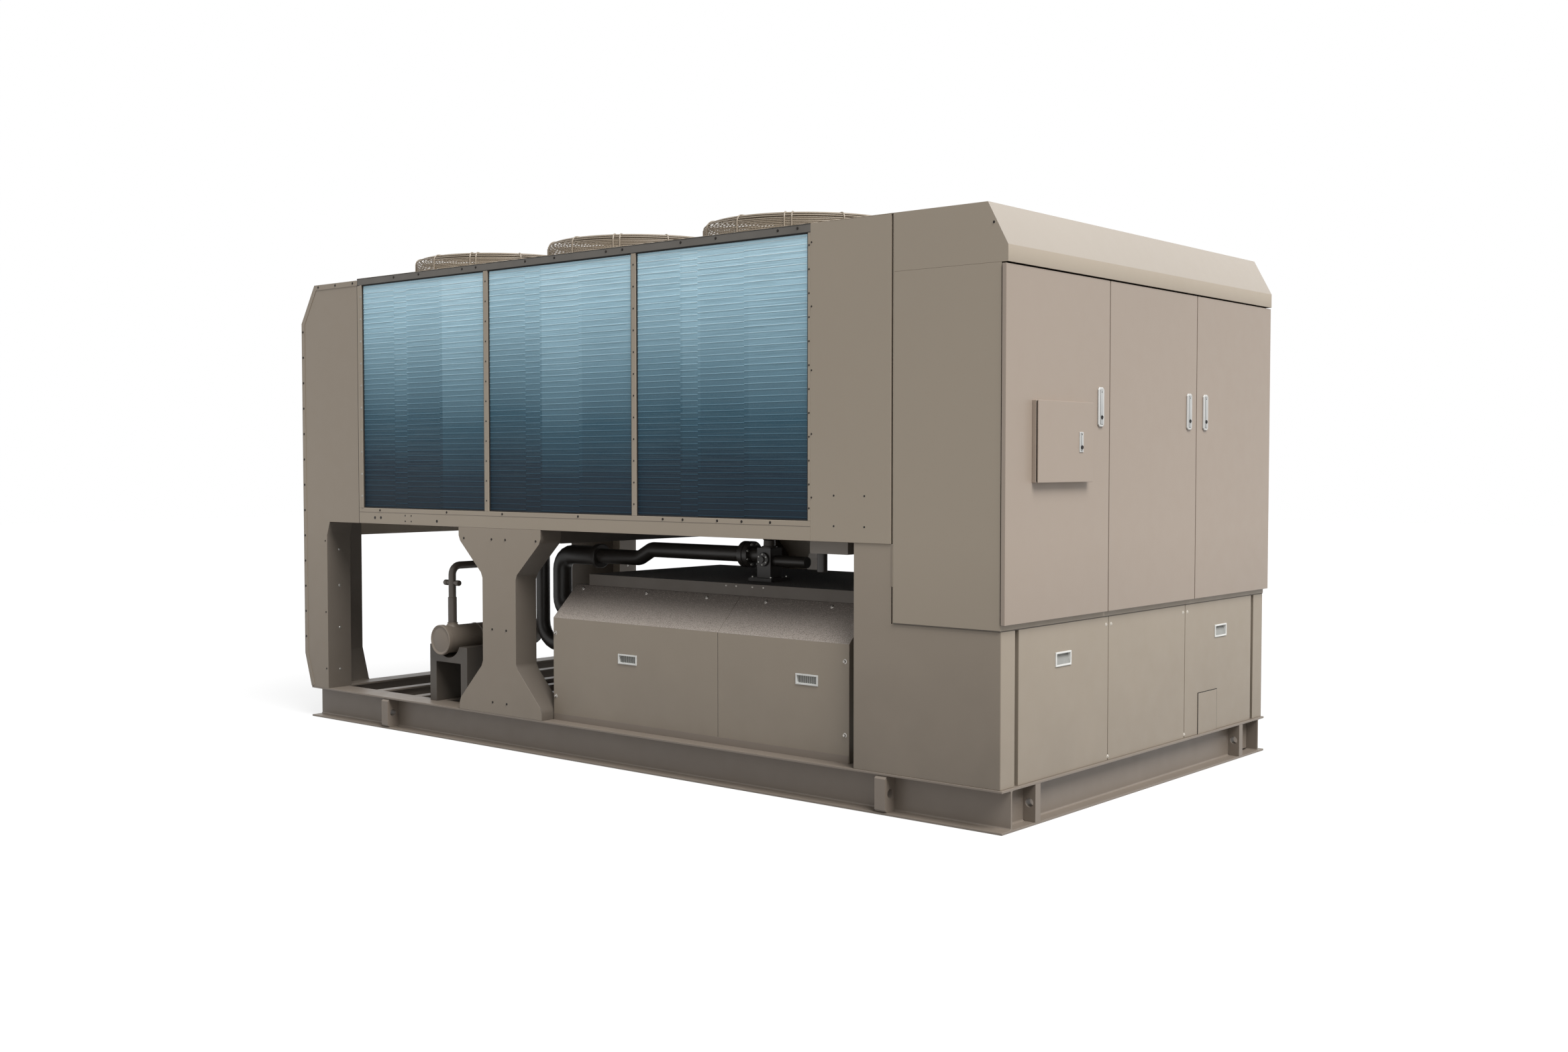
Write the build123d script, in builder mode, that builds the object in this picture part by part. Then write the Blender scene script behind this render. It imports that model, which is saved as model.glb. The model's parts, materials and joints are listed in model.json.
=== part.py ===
from build123d import *
from math import cos, radians, sin
import os

# Air-cooled liquid chiller with six fans. Millimetres. X runs along the machine and its control
# cabinet is at the +X end, -Y is the front, Z is up, and the origin is the bottom centre.
# Overall sizes
length = 4368
width = 2250
height = 2265
skin = 3
sheet = 4

# Base frame of rolled beams
base_height = 160
beam_flange = 130
beam_flange_t = 9
beam_web_t = 8
beam_root = 8
base_inset_left = 56
base_inset_right = 40
end_beam_flange = 114
cross_flange = 60
cross_places = (-1715, -1402, -1210, -980, 60, 1000, 1500)

# Lifting and tie-down lugs
lug_hole = 34
side_lug_places = (-1490, 1604)
side_lug_t = 50
side_lug_proud = 6
side_lug_corner = 12
end_lug_inset = 247
end_lug_t = 36

# Left end of sheet metal
left_leg = 206
left_leg_return = 140
left_leg_depth = 355
left_foot_rise = 172
left_foot_inset = 56
left_panel_edge = 489
left_top_drop = 9
left_slope_run = 119
left_slope_drop = 193
left_step_run = 26
left_step_rise = 71
left_opening_top = 945

# Coil section
rail_bottom = 1030
rail_height = 78
rail_depth = 100
head_height = 32
head_depth = 70
coil_depth = 50
coil_recess = 8
coil_right_edge = 925
upright_widths = (38, 31, 28, 13)

# Hourglass supports and the beam between them
support_centre = -610
support_depth = 125
support_top = 586
support_waist = 238
support_foot = 588
support_straight_top = 55
support_straight_foot = 46
support_waist_low = 390
support_waist_high = 810
support_corner = 15
tie_beam_width = 60
tie_beam_height = 66

# Fans and their deck
fan_side_gap = 10
fan_shift = 68
fan_collar = 60
bore_sides = 40
guard_gap = 104
guard_foot = 30
guard_height = 84
guard_shoulder = 30
guard_wire = 7
guard_top_ring = 275
guard_straps = 9
guard_sides = 18
guard_plate = 110
hub_radius = 95
hub_sides = 20
motor_radius = 55
motor_sides = 8
blade_count = 5
blade_chord = 200
blade_root_chord = 110
blade_hook = (0.75, 0.4)
blade_sweep = (0.67, 0.33)
blade_t = 6
blade_camber = 14
blade_bend = 35
blade_pitch = 24
blade_tip_angles = (-6, 13)
blade_gap = 16
rotor_height = 90
rotor_drop = 68

# Control cabinet
cabinet_width_x = 474
cabinet_bottom = 730
door_t = 18
door_gap = 6
door_seat = 5
door_bottom_gap = 25
door_overhang = 4
hood_lip_drop = 219
hood_front_proud = 5
hood_slope_run = 86
hood_slope_drop = 158
handle_proud = 30
handle_width = 43
handle_height = 152
handle_bottom = 1474
handle_inset = 52
handle_corner = 9
handle_slope = 3
upright_depth = 40
upright_width_y = 44
plate_margin = 40
plate_standoff = 20
cabinet_gap = 9

# Small door on the left cabinet door
box_left = 177
box_width = 397
box_bottom = 1263
box_height = 300
box_t = 17
box_door_t = 5
box_seat = 5
box_handle_place = (307, 150)
box_handle = (28, 76)
box_handle_proud = 3

# Enclosure under the cabinet
enclosure_depth = 661
enclosure_post = 102
enclosure_reveal = 25
enclosure_panels = 3
end_panel_t = 20
end_panel_gap = 4
post_depth = 60
enclosure_inset = 5
cable_plate_size = (181, 178)
cable_plate_y = 552
end_pull_size = (114, 55)
end_pull_height = 596
end_pull_places = (-683, 677)

# Compressor housing
housing_left = -312
housing_gap = 71
housing_front = 70
housing_rear = -13
housing_shoulder = 629
housing_slope_top = 772
housing_slope_run = 147
housing_top = 824
housing_seam = 705
seam_gap = 2
housing_lid_left = -229
housing_pull_size = (114, 44)
housing_pull_height = 472
housing_pull_insets = (482, 213)
pull_depth = 15
pull_rim = 7
pull_proud = 4

# Vessel, its stand, and the pipework
vessel_x = -1095
vessel_z = 470
vessel_radius = 80
vessel_inset = 55
vessel_length = 620
vessel_cap_radius = 88
vessel_cap_t = 26
stand_outer = 287
stand_leg = 50
stand_lintel_low = 357
stand_lintel_high = 440
stand_inset = 85
stand_depth = 380
riser_radius = 30
riser_bend = 62
riser_inset = 135
riser_boss = 12
riser_top = 825
riser_sleeve_radius = 36
riser_sleeve = (600, 655)
riser_tee_height = 745
riser_tee_radius = 14
riser_tee_length = 110
pipe_inset = 425
pipe_sides = 12
bend_steps = 3
discharge_x = -782
discharge_radius = 34
discharge_bend = 110
discharge_low = 450
suction_x = -640
suction_radius = 46
suction_bend = 75
suction_low = 610
suction_high = 893
clamp_place = -388
clamp_radius = 58
clamp_t = 26
run_radius = 35
run_jog = (-107, -27)
run_rise = 42
run_end = 543
valve_flange_radius = 58
valve_flange_t = 56
valve_base = (130, 14)
valve_body = (76, 130)
valve_body_x = 686
actuator_radius = 24
actuator_length = 175
hanger_size = (194, 100, 57)
hanger_end_gap = 7
hanger_inset = 125
hanger_fitting_radius = 21
hanger_fitting_low = 896
hanger_fitting_offset = 72

# Evaporator behind the compressor housing
evaporator_inset = 605
evaporator_z = 500
evaporator_radius = 250
evaporator_ends = (-860, 1380)
evaporator_flange_radius = 268
evaporator_flange_t = 36
evaporator_cap = 120
evaporator_cap_radius = 190
evaporator_sides = 24
nozzle_places = (-100, 1150)
nozzle_radius = 70
nozzle_bore = 64
nozzle_reach = 180
cradle_places = (60, 1000)
cradle_width = 380
cradle_t = 60

os.makedirs("parts", exist_ok=True)

half_length = length / 2
half_width = width / 2
left_face = -half_length
door_face = half_length - handle_proud
body_face = door_face - door_t - door_seat
base_left = left_face + base_inset_left
base_right = half_length - base_inset_right
beam_y = half_width - beam_flange / 2
flange_edge = half_width - beam_flange
web_face = beam_y - beam_web_t / 2
end_lug_place = half_width - end_lug_inset
cabinet_left = body_face - cabinet_width_x
rail_top = rail_bottom + rail_height
deck_under = height - skin
coil_top = deck_under - head_height
coil_end = half_length - coil_right_edge
hood_lip = height - hood_lip_drop
vessel_front = half_width - vessel_inset
stand_front = half_width - stand_inset
riser_place = half_width - riser_inset
pipe_y = pipe_inset - half_width
hanger_front = half_width - hanger_inset
evaporator_y = half_width - evaporator_inset
enclosure_left = body_face - enclosure_depth
housing_right = enclosure_left - housing_gap
panel_edge = left_face + left_panel_edge


def finish(piece, name):
    """Name a finished sub-part and write it as its own STEP file."""
    piece.part.label = name
    export_step(piece.part, f"parts/{name}.step")


def block(x, y, z):
    """A block between two places along each axis, added to the part being built."""
    with Locations(((x[0] + x[1]) / 2, (y[0] + y[1]) / 2, (z[0] + z[1]) / 2)):
        Box(x[1] - x[0], y[1] - y[0], z[1] - z[0])


def beam_section(flange, root):
    """Rolled section that stands on its bottom flange, with its roots eased where it is large."""
    with BuildSketch() as section:
        with Locations((0, beam_flange_t / 2), (0, base_height - beam_flange_t / 2)):
            Rectangle(flange, beam_flange_t)
        with Locations((0, base_height / 2)):
            Rectangle(beam_web_t, base_height)
        roots = section.vertices().filter_by(
            lambda v: abs(v.X) < beam_web_t and 1 < v.Y < base_height - 1
        )
        if root:
            fillet(roots, root)
    return section.sketch


def cross_member(x, flange, root):
    """A beam across the base: flanges between the long beams, and a coped web up to theirs."""
    with BuildSketch(Plane.XZ.offset(-flange_edge)) as section:
        with Locations((x, 0)):
            add(beam_section(flange, root))
    extrude(section.sketch, amount=2 * flange_edge)
    cope = beam_flange_t + beam_root
    block((x - beam_web_t / 2, x + beam_web_t / 2), (-web_face, web_face), (cope, base_height - cope))


# Base frame
with BuildPart() as side_beams:
    with BuildSketch(Plane.YZ.offset(base_left)):
        with Locations((-beam_y, 0), (beam_y, 0)):
            add(beam_section(beam_flange, beam_root))
    extrude(amount=base_right - base_left)
finish(side_beams, "side_beams")

end_beam_places = (base_left + end_beam_flange / 2, base_right - end_beam_flange / 2)
with BuildPart() as end_beams:
    for place in end_beam_places:
        cross_member(place, end_beam_flange, beam_root)
finish(end_beams, "end_beams")

with BuildPart() as cross_beams:
    for place in cross_places:
        cross_member(place, cross_flange, 0)
finish(cross_beams, "cross_beams")

lug_low = beam_flange_t
lug_high = base_height - beam_flange_t
with BuildPart() as lifting_lugs:
    outer = half_width + side_lug_proud
    inner = beam_y + beam_web_t / 2
    for place in side_lug_places:
        with BuildSketch(Plane.YZ.offset(place - side_lug_t / 2)):
            with Locations((-(outer + inner) / 2, base_height / 2)):
                lug = Rectangle(outer - inner, lug_high - lug_low)
            chamfer(lug.vertices().group_by(Axis.X)[-1], beam_root)
            chamfer(lug.vertices().group_by(Axis.X)[0], side_lug_corner)
            with Locations((-(outer + inner) / 2, base_height / 2)):
                Circle(lug_hole / 2, mode=Mode.SUBTRACT)
        extrude(amount=side_lug_t)
    mirror(about=Plane.XZ)
    for end, place in zip((-1, 1), end_beam_places):
        reach = (end_beam_flange - beam_web_t) / 2
        middle = place + end * (beam_web_t + reach) / 2
        for y in (-end_lug_place, end_lug_place):
            with BuildSketch(Plane.XZ.offset(-y - end_lug_t / 2)):
                with Locations((middle, base_height / 2)):
                    lug = Rectangle(reach, lug_high - lug_low)
                inner_corners = lug.vertices().group_by(Axis.X)[0 if end > 0 else -1]
                chamfer(inner_corners, beam_root)
                with Locations((middle, base_height / 2)):
                    Circle(lug_hole / 2, mode=Mode.SUBTRACT)
            extrude(amount=end_lug_t)
finish(lifting_lugs, "lifting_lugs")

# Left end: folded corner posts, the end panel between them and the sloped hood on top
left_top = height - left_top_drop
slope_x = left_face + left_slope_run
slope_z = left_top - left_slope_drop
leg_x = left_face + left_leg
foot_x = left_face + left_foot_inset
foot_z = base_height + left_foot_rise
step_x = leg_x + left_step_run
step_z = rail_bottom - left_step_rise
left_outline = (
    (foot_x, base_height),
    (left_face, foot_z),
    (left_face, slope_z),
    (slope_x, left_top - skin),
    (panel_edge, left_top - skin),
    (panel_edge, rail_bottom),
    (step_x, rail_bottom),
    (leg_x, step_z),
    (leg_x, base_height),
)
with BuildPart() as left_posts:
    with BuildSketch(Plane.XZ.offset(half_width)) as outline:
        with BuildLine():
            Polyline(*left_outline, close=True)
        make_face()
    extrude(amount=-left_leg_depth)
    with BuildSketch(Plane.XZ.offset(half_width - sheet)):
        with BuildLine():
            Polyline(*left_outline, close=True)
        make_face()
        offset(amount=-sheet, kind=Kind.INTERSECTION)
    extrude(amount=-left_leg_depth, mode=Mode.SUBTRACT)
    with BuildSketch(Plane.XZ.offset(half_width - left_leg_return)):
        with BuildLine():
            Polyline(
                (foot_x + 2 * sheet, base_height),
                (left_face + sheet, foot_z),
                (left_face + sheet, left_top),
                (panel_edge, left_top),
                (panel_edge, base_height),
                close=True,
            )
        make_face()
    extrude(amount=-left_leg_depth, mode=Mode.SUBTRACT)
    mirror(about=Plane.XZ)
finish(left_posts, "left_posts")

panel_y = half_width - left_leg_depth
with BuildPart() as left_end_panel:
    block((left_face, left_face + skin), (-panel_y, panel_y), (left_opening_top, slope_z))
finish(left_end_panel, "left_end_panel")

with BuildPart() as left_hood:
    with BuildSketch(Plane.XZ.offset(half_width)):
        with BuildLine():
            Polyline(
                (left_face, slope_z),
                (slope_x, left_top - skin),
                (panel_edge, left_top - skin),
                (panel_edge, left_top),
                (slope_x - skin / 2, left_top),
                (left_face, slope_z + skin),
                close=True,
            )
        make_face()
    extrude(amount=-width)
finish(left_hood, "left_hood")

# Coil section
rail_inner = half_width - rail_depth
with BuildPart() as coil_rails:
    with BuildSketch(Plane.YZ.offset(panel_edge)):
        with BuildLine():
            Polyline(
                (-rail_inner, rail_bottom),
                (-half_width, rail_bottom),
                (-half_width, rail_top),
                (-rail_inner, rail_top),
                (-rail_inner, rail_top - sheet),
                (-half_width + sheet, rail_top - sheet),
                (-half_width + sheet, rail_bottom + sheet),
                (-rail_inner, rail_bottom + sheet),
                close=True,
            )
        make_face()
    extrude(amount=coil_end - panel_edge)
    mirror(about=Plane.XZ)
finish(coil_rails, "coil_rails")

bay_count = len(upright_widths) - 1
bay_width = (coil_end - panel_edge - sum(upright_widths)) / bay_count
upright_spans = []
start = panel_edge
for upright_width in upright_widths:
    upright_spans.append((start, start + upright_width))
    start += upright_width + bay_width
with BuildPart() as coil_uprights:
    for span in upright_spans:
        block(span, (-half_width, -rail_inner), (rail_top, coil_top))
    mirror(about=Plane.XZ)
finish(coil_uprights, "coil_uprights")

coil_face = -half_width + coil_recess
with BuildPart() as coils:
    for before, after in zip(upright_spans, upright_spans[1:]):
        block((before[1], after[0]), (coil_face, coil_face + coil_depth), (rail_top, coil_top))
    mirror(about=Plane.XZ)
finish(coils, "coils")

with BuildPart() as coil_heads:
    block((panel_edge, coil_end), (-half_width, -half_width + head_depth), (coil_top, deck_under))
    mirror(about=Plane.XZ)
finish(coil_heads, "coil_heads")

blank_right = cabinet_left - cabinet_gap
with BuildPart() as blank_panels:
    block((coil_end, blank_right), (-half_width, -rail_inner), (rail_bottom, deck_under))
    with BuildSketch(Plane.XZ.offset(half_width - sheet)):
        with Locations(((coil_end + blank_right) / 2, (rail_bottom + deck_under) / 2)):
            Rectangle(blank_right - coil_end - 2 * sheet, deck_under - rail_bottom - 2 * sheet)
    extrude(amount=-rail_depth, mode=Mode.SUBTRACT)
    mirror(about=Plane.XZ)
finish(blank_panels, "blank_panels")

# Hourglass supports under the coil rails: folded sheet, with returns behind the front plate
def hourglass():
    """Outline of a support: straight waist, sloped flares, straight ends, eased corners."""
    half_outline = (
        (0, rail_bottom),
        (support_top / 2, rail_bottom),
        (support_top / 2, rail_bottom - support_straight_top),
        (support_waist / 2, support_waist_high),
        (support_waist / 2, support_waist_low),
        (support_foot / 2, base_height + support_straight_foot),
        (support_foot / 2, base_height),
        (0, base_height),
    )
    with BuildSketch() as outline:
        with BuildLine():
            Polyline(*half_outline)
            mirror(about=Plane.YZ)
        make_face()
        bends = outline.vertices().filter_by(
            lambda v: base_height + 1 < v.Y < rail_bottom - 1
        )
        chamfer(bends, support_corner)
    return outline.sketch


with BuildPart() as supports:
    with BuildSketch(Plane.XZ.offset(half_width)):
        with Locations((support_centre, 0)):
            add(hourglass())
    extrude(amount=-support_depth)
    with BuildSketch(Plane.XZ.offset(half_width - sheet)):
        with Locations((support_centre, 0)):
            add(hourglass())
        offset(amount=-sheet, kind=Kind.INTERSECTION)
    extrude(amount=-support_depth, mode=Mode.SUBTRACT)
    mirror(about=Plane.XZ)
finish(supports, "supports")

tie_right = support_centre + support_top / 2
tie_y = half_width - support_depth
with BuildPart() as tie_beam:
    block(
        (tie_right - tie_beam_width, tie_right),
        (-tie_y, tie_y),
        (rail_bottom - tie_beam_height, rail_bottom),
    )
finish(tie_beam, "tie_beam")

with BuildPart() as plenum_floor:
    block(
        (panel_edge, blank_right),
        (-rail_inner, rail_inner),
        (rail_bottom, rail_bottom + skin),
    )
finish(plenum_floor, "plenum_floor")

# Fan deck: one panel for each pair of fans, with a drawn collar round every bore
fan_pitch = (coil_end - panel_edge) / bay_count
fan_middle = (coil_end + panel_edge) / 2 + fan_shift
fan_places = [fan_middle + step * fan_pitch for step in (-1, 0, 1)]
guard_radius = (fan_pitch - guard_gap) / 2
bore_radius = guard_radius - guard_foot
fan_row = half_width - head_depth - fan_side_gap - bore_radius
deck_edges = [panel_edge] + [place + fan_pitch / 2 for place in fan_places]
for number, name in enumerate(("fan_panels_left", "fan_panels_middle", "fan_panels_right")):
    start = deck_edges[number]
    end = deck_edges[number + 1]
    with BuildPart() as fan_panels:
        for side in (-1, 1):
            with BuildSketch(Plane.XY.offset(deck_under)):
                with Locations(((start + end) / 2, side * half_width / 2)):
                    Rectangle(end - start, half_width - seam_gap)
            extrude(amount=skin)
            with BuildSketch(Plane.XY.offset(height)):
                with Locations((fan_places[number], side * fan_row)):
                    RegularPolygon(bore_radius + sheet, bore_sides)
            extrude(amount=-fan_collar)
            with BuildSketch(Plane.XY.offset(height)):
                with Locations((fan_places[number], side * fan_row)):
                    RegularPolygon(bore_radius, bore_sides)
            extrude(amount=-fan_collar, mode=Mode.SUBTRACT)
    finish(fan_panels, name)

with BuildPart() as deck_end_panel:
    block((deck_edges[3], cabinet_left), (-half_width, half_width), (deck_under, height))
finish(deck_end_panel, "deck_end_panel")

# Fan guards: rings in a shallow drum, on straps that rise and run in to a hub plate
guard_top = height + guard_height
wire = guard_wire / 2
ring_places = (
    (guard_radius, guard_top - guard_shoulder - guard_wire),
    (guard_top_ring, guard_top - guard_wire),
)
with BuildPart() as guard:
    for radius, low in ring_places:
        with BuildSketch(Plane.XY.offset(low)):
            RegularPolygon(radius + wire, guard_sides)
            RegularPolygon(radius - wire, guard_sides, mode=Mode.SUBTRACT)
        extrude(amount=guard_wire)
    with BuildSketch(Plane.XY.offset(guard_top - guard_wire)):
        RegularPolygon(guard_plate, guard_sides)
    extrude(amount=guard_wire)
    strap_top = guard_top - guard_wire
    with BuildSketch(Plane.XZ) as strap_side:
        with BuildLine():
            Polyline(
                (guard_radius + wire, height),
                (guard_radius + wire, guard_top - guard_shoulder),
                (guard_radius + wire - guard_shoulder, guard_top),
                (guard_plate - guard_wire, guard_top),
                (guard_plate - guard_wire, strap_top),
                (guard_radius - guard_shoulder, strap_top),
                (guard_radius - wire, strap_top - guard_shoulder + wire),
                (guard_radius - wire, height),
                close=True,
            )
        make_face()
    strap = extrude(amount=guard_wire, both=True, mode=Mode.PRIVATE)
    with PolarLocations(0, guard_straps):
        add(strap)
fan_spots = [(place, side * fan_row) for place in fan_places for side in (-1, 1)]
with BuildPart() as fan_guards:
    with Locations(*fan_spots):
        add(guard.part)
finish(fan_guards, "fan_guards")

# Fan motors hang from the hub plates on stub posts; rotors turn round them inside the collars
rotor_top = height - rotor_drop
with BuildPart() as motor:
    with BuildSketch(Plane.XY.offset(rotor_top)):
        RegularPolygon(motor_radius, motor_sides)
    extrude(amount=guard_top - guard_wire - rotor_top)
with BuildPart() as fan_motors:
    with Locations(*fan_spots):
        add(motor.part)
finish(fan_motors, "fan_motors")


# A blade is pressed sheet with two bend lines, pitched, and cut to a swept outline
tip_radius = bore_radius - blade_gap
leading_tip, trailing_tip = (
    Vector(tip_radius, 0).rotate(Axis.Z, angle) for angle in blade_tip_angles
)
with BuildPart() as blade:
    pitched = Plane(
        origin=(0, 0, rotor_top - rotor_height / 2),
        x_dir=(0, cos(radians(blade_pitch)), sin(radians(blade_pitch))),
        z_dir=(1, 0, 0),
    )
    with BuildSketch(pitched):
        with BuildLine():
            Polyline(
                (-blade_chord / 2, 0),
                (-blade_bend, blade_camber),
                (blade_bend, blade_camber),
                (blade_chord / 2, 0),
                (blade_chord / 2, -blade_t),
                (blade_bend, blade_camber - blade_t),
                (-blade_bend, blade_camber - blade_t),
                (-blade_chord / 2, -blade_t),
                close=True,
            )
        make_face()
    extrude(amount=tip_radius)
    with BuildSketch(Plane.XY.offset(rotor_top - rotor_height)):
        with BuildLine():
            Polyline(
                (0, -blade_root_chord / 2),
                (tip_radius / 2, -blade_chord / 2),
                (tip_radius * blade_hook[0], -blade_chord * blade_hook[1]),
                leading_tip,
                trailing_tip,
                (tip_radius * blade_sweep[0], blade_chord * blade_sweep[1]),
                (0, blade_root_chord / 2),
                close=True,
            )
        make_face()
    extrude(amount=rotor_height, mode=Mode.INTERSECT)
with BuildPart() as rotor:
    with BuildSketch(Plane.XY.offset(rotor_top - rotor_height)):
        RegularPolygon(hub_radius, hub_sides)
    extrude(amount=rotor_height)
    with PolarLocations(0, blade_count):
        add(blade.part)
with BuildPart() as fan_rotors:
    with Locations(*fan_spots):
        add(rotor.part)
finish(fan_rotors, "fan_rotors")

# Control cabinet: back, sides, floor and hood round an open front with uprights between doors
cabinet_back_x = cabinet_left + skin
hood_face = door_face + hood_front_proud
with BuildPart() as cabinet_back:
    block((cabinet_left, cabinet_back_x), (-half_width, half_width), (cabinet_bottom, deck_under))
finish(cabinet_back, "cabinet_back")

with BuildPart() as cabinet_sides:
    block(
        (cabinet_back_x, body_face),
        (-half_width, -half_width + sheet),
        (cabinet_bottom + sheet, hood_lip),
    )
    mirror(about=Plane.XZ)
finish(cabinet_sides, "cabinet_sides")

with BuildPart() as cabinet_floor:
    block(
        (cabinet_back_x, body_face),
        (-half_width, half_width),
        (cabinet_bottom, cabinet_bottom + sheet),
    )
finish(cabinet_floor, "cabinet_floor")

hood_low = height - hood_slope_drop
with BuildPart() as cabinet_hood:
    with BuildSketch(Plane.XZ.offset(half_width)):
        with BuildLine():
            Polyline(
                (cabinet_back_x, hood_lip),
                (cabinet_back_x, deck_under),
                (cabinet_left, deck_under),
                (cabinet_left, height),
                (hood_face - hood_slope_run, height),
                (hood_face, hood_low),
                (hood_face, hood_lip),
                close=True,
            )
        make_face()
    extrude(amount=-width)
    with BuildSketch(Plane.XZ.offset(half_width - sheet)):
        with BuildLine():
            Polyline(
                (cabinet_back_x, hood_lip),
                (cabinet_back_x, deck_under),
                (hood_face - hood_slope_run - sheet, deck_under),
                (hood_face - sheet, hood_low),
                (hood_face - sheet, hood_lip),
                close=True,
            )
        make_face()
    extrude(amount=2 * sheet - width, mode=Mode.SUBTRACT)
finish(cabinet_hood, "cabinet_hood")

door_count = 3
door_span = width + 2 * door_overhang
door_width = (door_span - (door_count - 1) * door_gap) / door_count
door_lefts = [-door_span / 2 + number * (door_width + door_gap) for number in range(door_count)]
door_bottom = cabinet_bottom + door_bottom_gap
door_top = hood_lip - door_seat
with BuildPart() as cabinet_uprights:
    for left in door_lefts[1:]:
        block(
            (body_face - upright_depth, body_face),
            (left - door_gap / 2 - upright_width_y / 2, left - door_gap / 2 + upright_width_y / 2),
            (cabinet_bottom + sheet, hood_lip),
        )
finish(cabinet_uprights, "cabinet_uprights")

with BuildPart() as mounting_plates:
    for left in door_lefts:
        block(
            (cabinet_back_x, cabinet_back_x + plate_standoff + skin),
            (left + plate_margin, left + door_width - plate_margin),
            (cabinet_bottom + plate_margin, hood_lip - plate_margin),
        )
finish(mounting_plates, "mounting_plates")

inner_face = door_face - door_t
for number, name in enumerate(("left", "middle", "right")):
    left = door_lefts[number]
    with BuildPart() as door:
        with BuildSketch(Plane.YZ.offset(inner_face)):
            with Locations((left + door_width / 2, (door_bottom + door_top) / 2)):
                Rectangle(door_width, door_top - door_bottom)
        extrude(amount=door_t)
        with BuildSketch(Plane.YZ.offset(inner_face)):
            with Locations((left + door_width / 2, (door_bottom + door_top) / 2)):
                Rectangle(door_width - 2 * skin, door_top - door_bottom - 2 * skin)
        extrude(amount=door_t - skin, mode=Mode.SUBTRACT)
    finish(door, f"door_{name}")
    handle_y = left + handle_inset + handle_width / 2
    if name != "right":
        handle_y = left + door_width - handle_inset - handle_width / 2
    with BuildPart() as handle:
        with BuildSketch(Plane.YZ.offset(door_face)):
            with Locations((handle_y, handle_bottom + handle_height / 2)):
                outline = Rectangle(handle_width, handle_height)
            chamfer(outline.vertices(), handle_corner)
        extrude(amount=handle_proud)
        chamfer(handle.faces().sort_by(Axis.X)[-1].edges(), handle_slope)
    finish(handle, f"handle_{name}")

# Small door and its case on the left cabinet door
box_y = door_lefts[0] + box_left
with BuildPart() as controller_case:
    with BuildSketch(Plane.YZ.offset(door_face)):
        with Locations((box_y + box_width / 2, box_bottom + box_height / 2)):
            Rectangle(box_width, box_height)
    extrude(amount=box_t)
    with BuildSketch(Plane.YZ.offset(door_face + sheet)):
        with Locations((box_y + box_width / 2, box_bottom + box_height / 2)):
            Rectangle(box_width - 2 * sheet, box_height - 2 * sheet)
    extrude(amount=box_t, mode=Mode.SUBTRACT)
finish(controller_case, "controller_case")
box_inner = door_face + box_t + box_seat
with BuildPart() as controller_door:
    block(
        (box_inner, box_inner + box_door_t),
        (box_y, box_y + box_width),
        (box_bottom, box_bottom + box_height),
    )
finish(controller_door, "controller_door")
with BuildPart() as controller_handle:
    with BuildSketch(Plane.YZ.offset(box_inner + box_door_t)):
        with Locations((box_y + box_handle_place[0], box_bottom + box_handle_place[1])):
            Rectangle(*box_handle)
    extrude(amount=box_handle_proud)
finish(controller_handle, "controller_handle")

# Enclosure under the cabinet: folded side skins, corner posts, lift-off end panels
end_face = body_face + 1
enclosure_y = half_width - enclosure_inset
with BuildPart() as enclosure_sides:
    side_y = (-enclosure_y, -enclosure_y + sheet)
    block((enclosure_left, end_face), side_y, (base_height, cabinet_bottom))
    block((enclosure_left, blank_right), side_y, (cabinet_bottom, rail_bottom))
    mirror(about=Plane.XZ)
finish(enclosure_sides, "enclosure_sides")

post_inner = half_width - enclosure_post
with BuildPart() as enclosure_posts:
    with BuildSketch(Plane.XY.offset(base_height)):
        with BuildLine():
            Polyline(
                (end_face, -enclosure_y + sheet),
                (end_face, -post_inner),
                (end_face - post_depth, -post_inner),
                (end_face - post_depth, -post_inner - sheet),
                (end_face - sheet, -post_inner - sheet),
                (end_face - sheet, -enclosure_y + sheet),
                close=True,
            )
        make_face()
    extrude(amount=cabinet_bottom - base_height)
    mirror(about=Plane.XZ)
finish(enclosure_posts, "enclosure_posts")

panel_span = 2 * (post_inner - enclosure_reveal)
panel_width = (panel_span - (enclosure_panels - 1) * end_panel_gap) / enclosure_panels
with BuildPart() as end_panels:
    for number in range(enclosure_panels):
        left = -panel_span / 2 + number * (panel_width + end_panel_gap)
        panel_y = (left, left + panel_width)
        block((end_face - end_panel_t, end_face), panel_y, (base_height, cabinet_bottom))
    with BuildSketch(Plane.YZ.offset(end_face)):
        with Locations(*[(place, end_pull_height) for place in end_pull_places]):
            Rectangle(*end_pull_size)
    extrude(amount=-pull_depth, mode=Mode.SUBTRACT)
finish(end_panels, "end_panels")

with BuildPart() as cable_plate:
    with BuildSketch(Plane.YZ.offset(end_face)):
        with Locations((cable_plate_y, base_height + cable_plate_size[1] / 2)):
            Rectangle(*cable_plate_size)
    extrude(amount=skin)
finish(cable_plate, "cable_plate")

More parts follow.
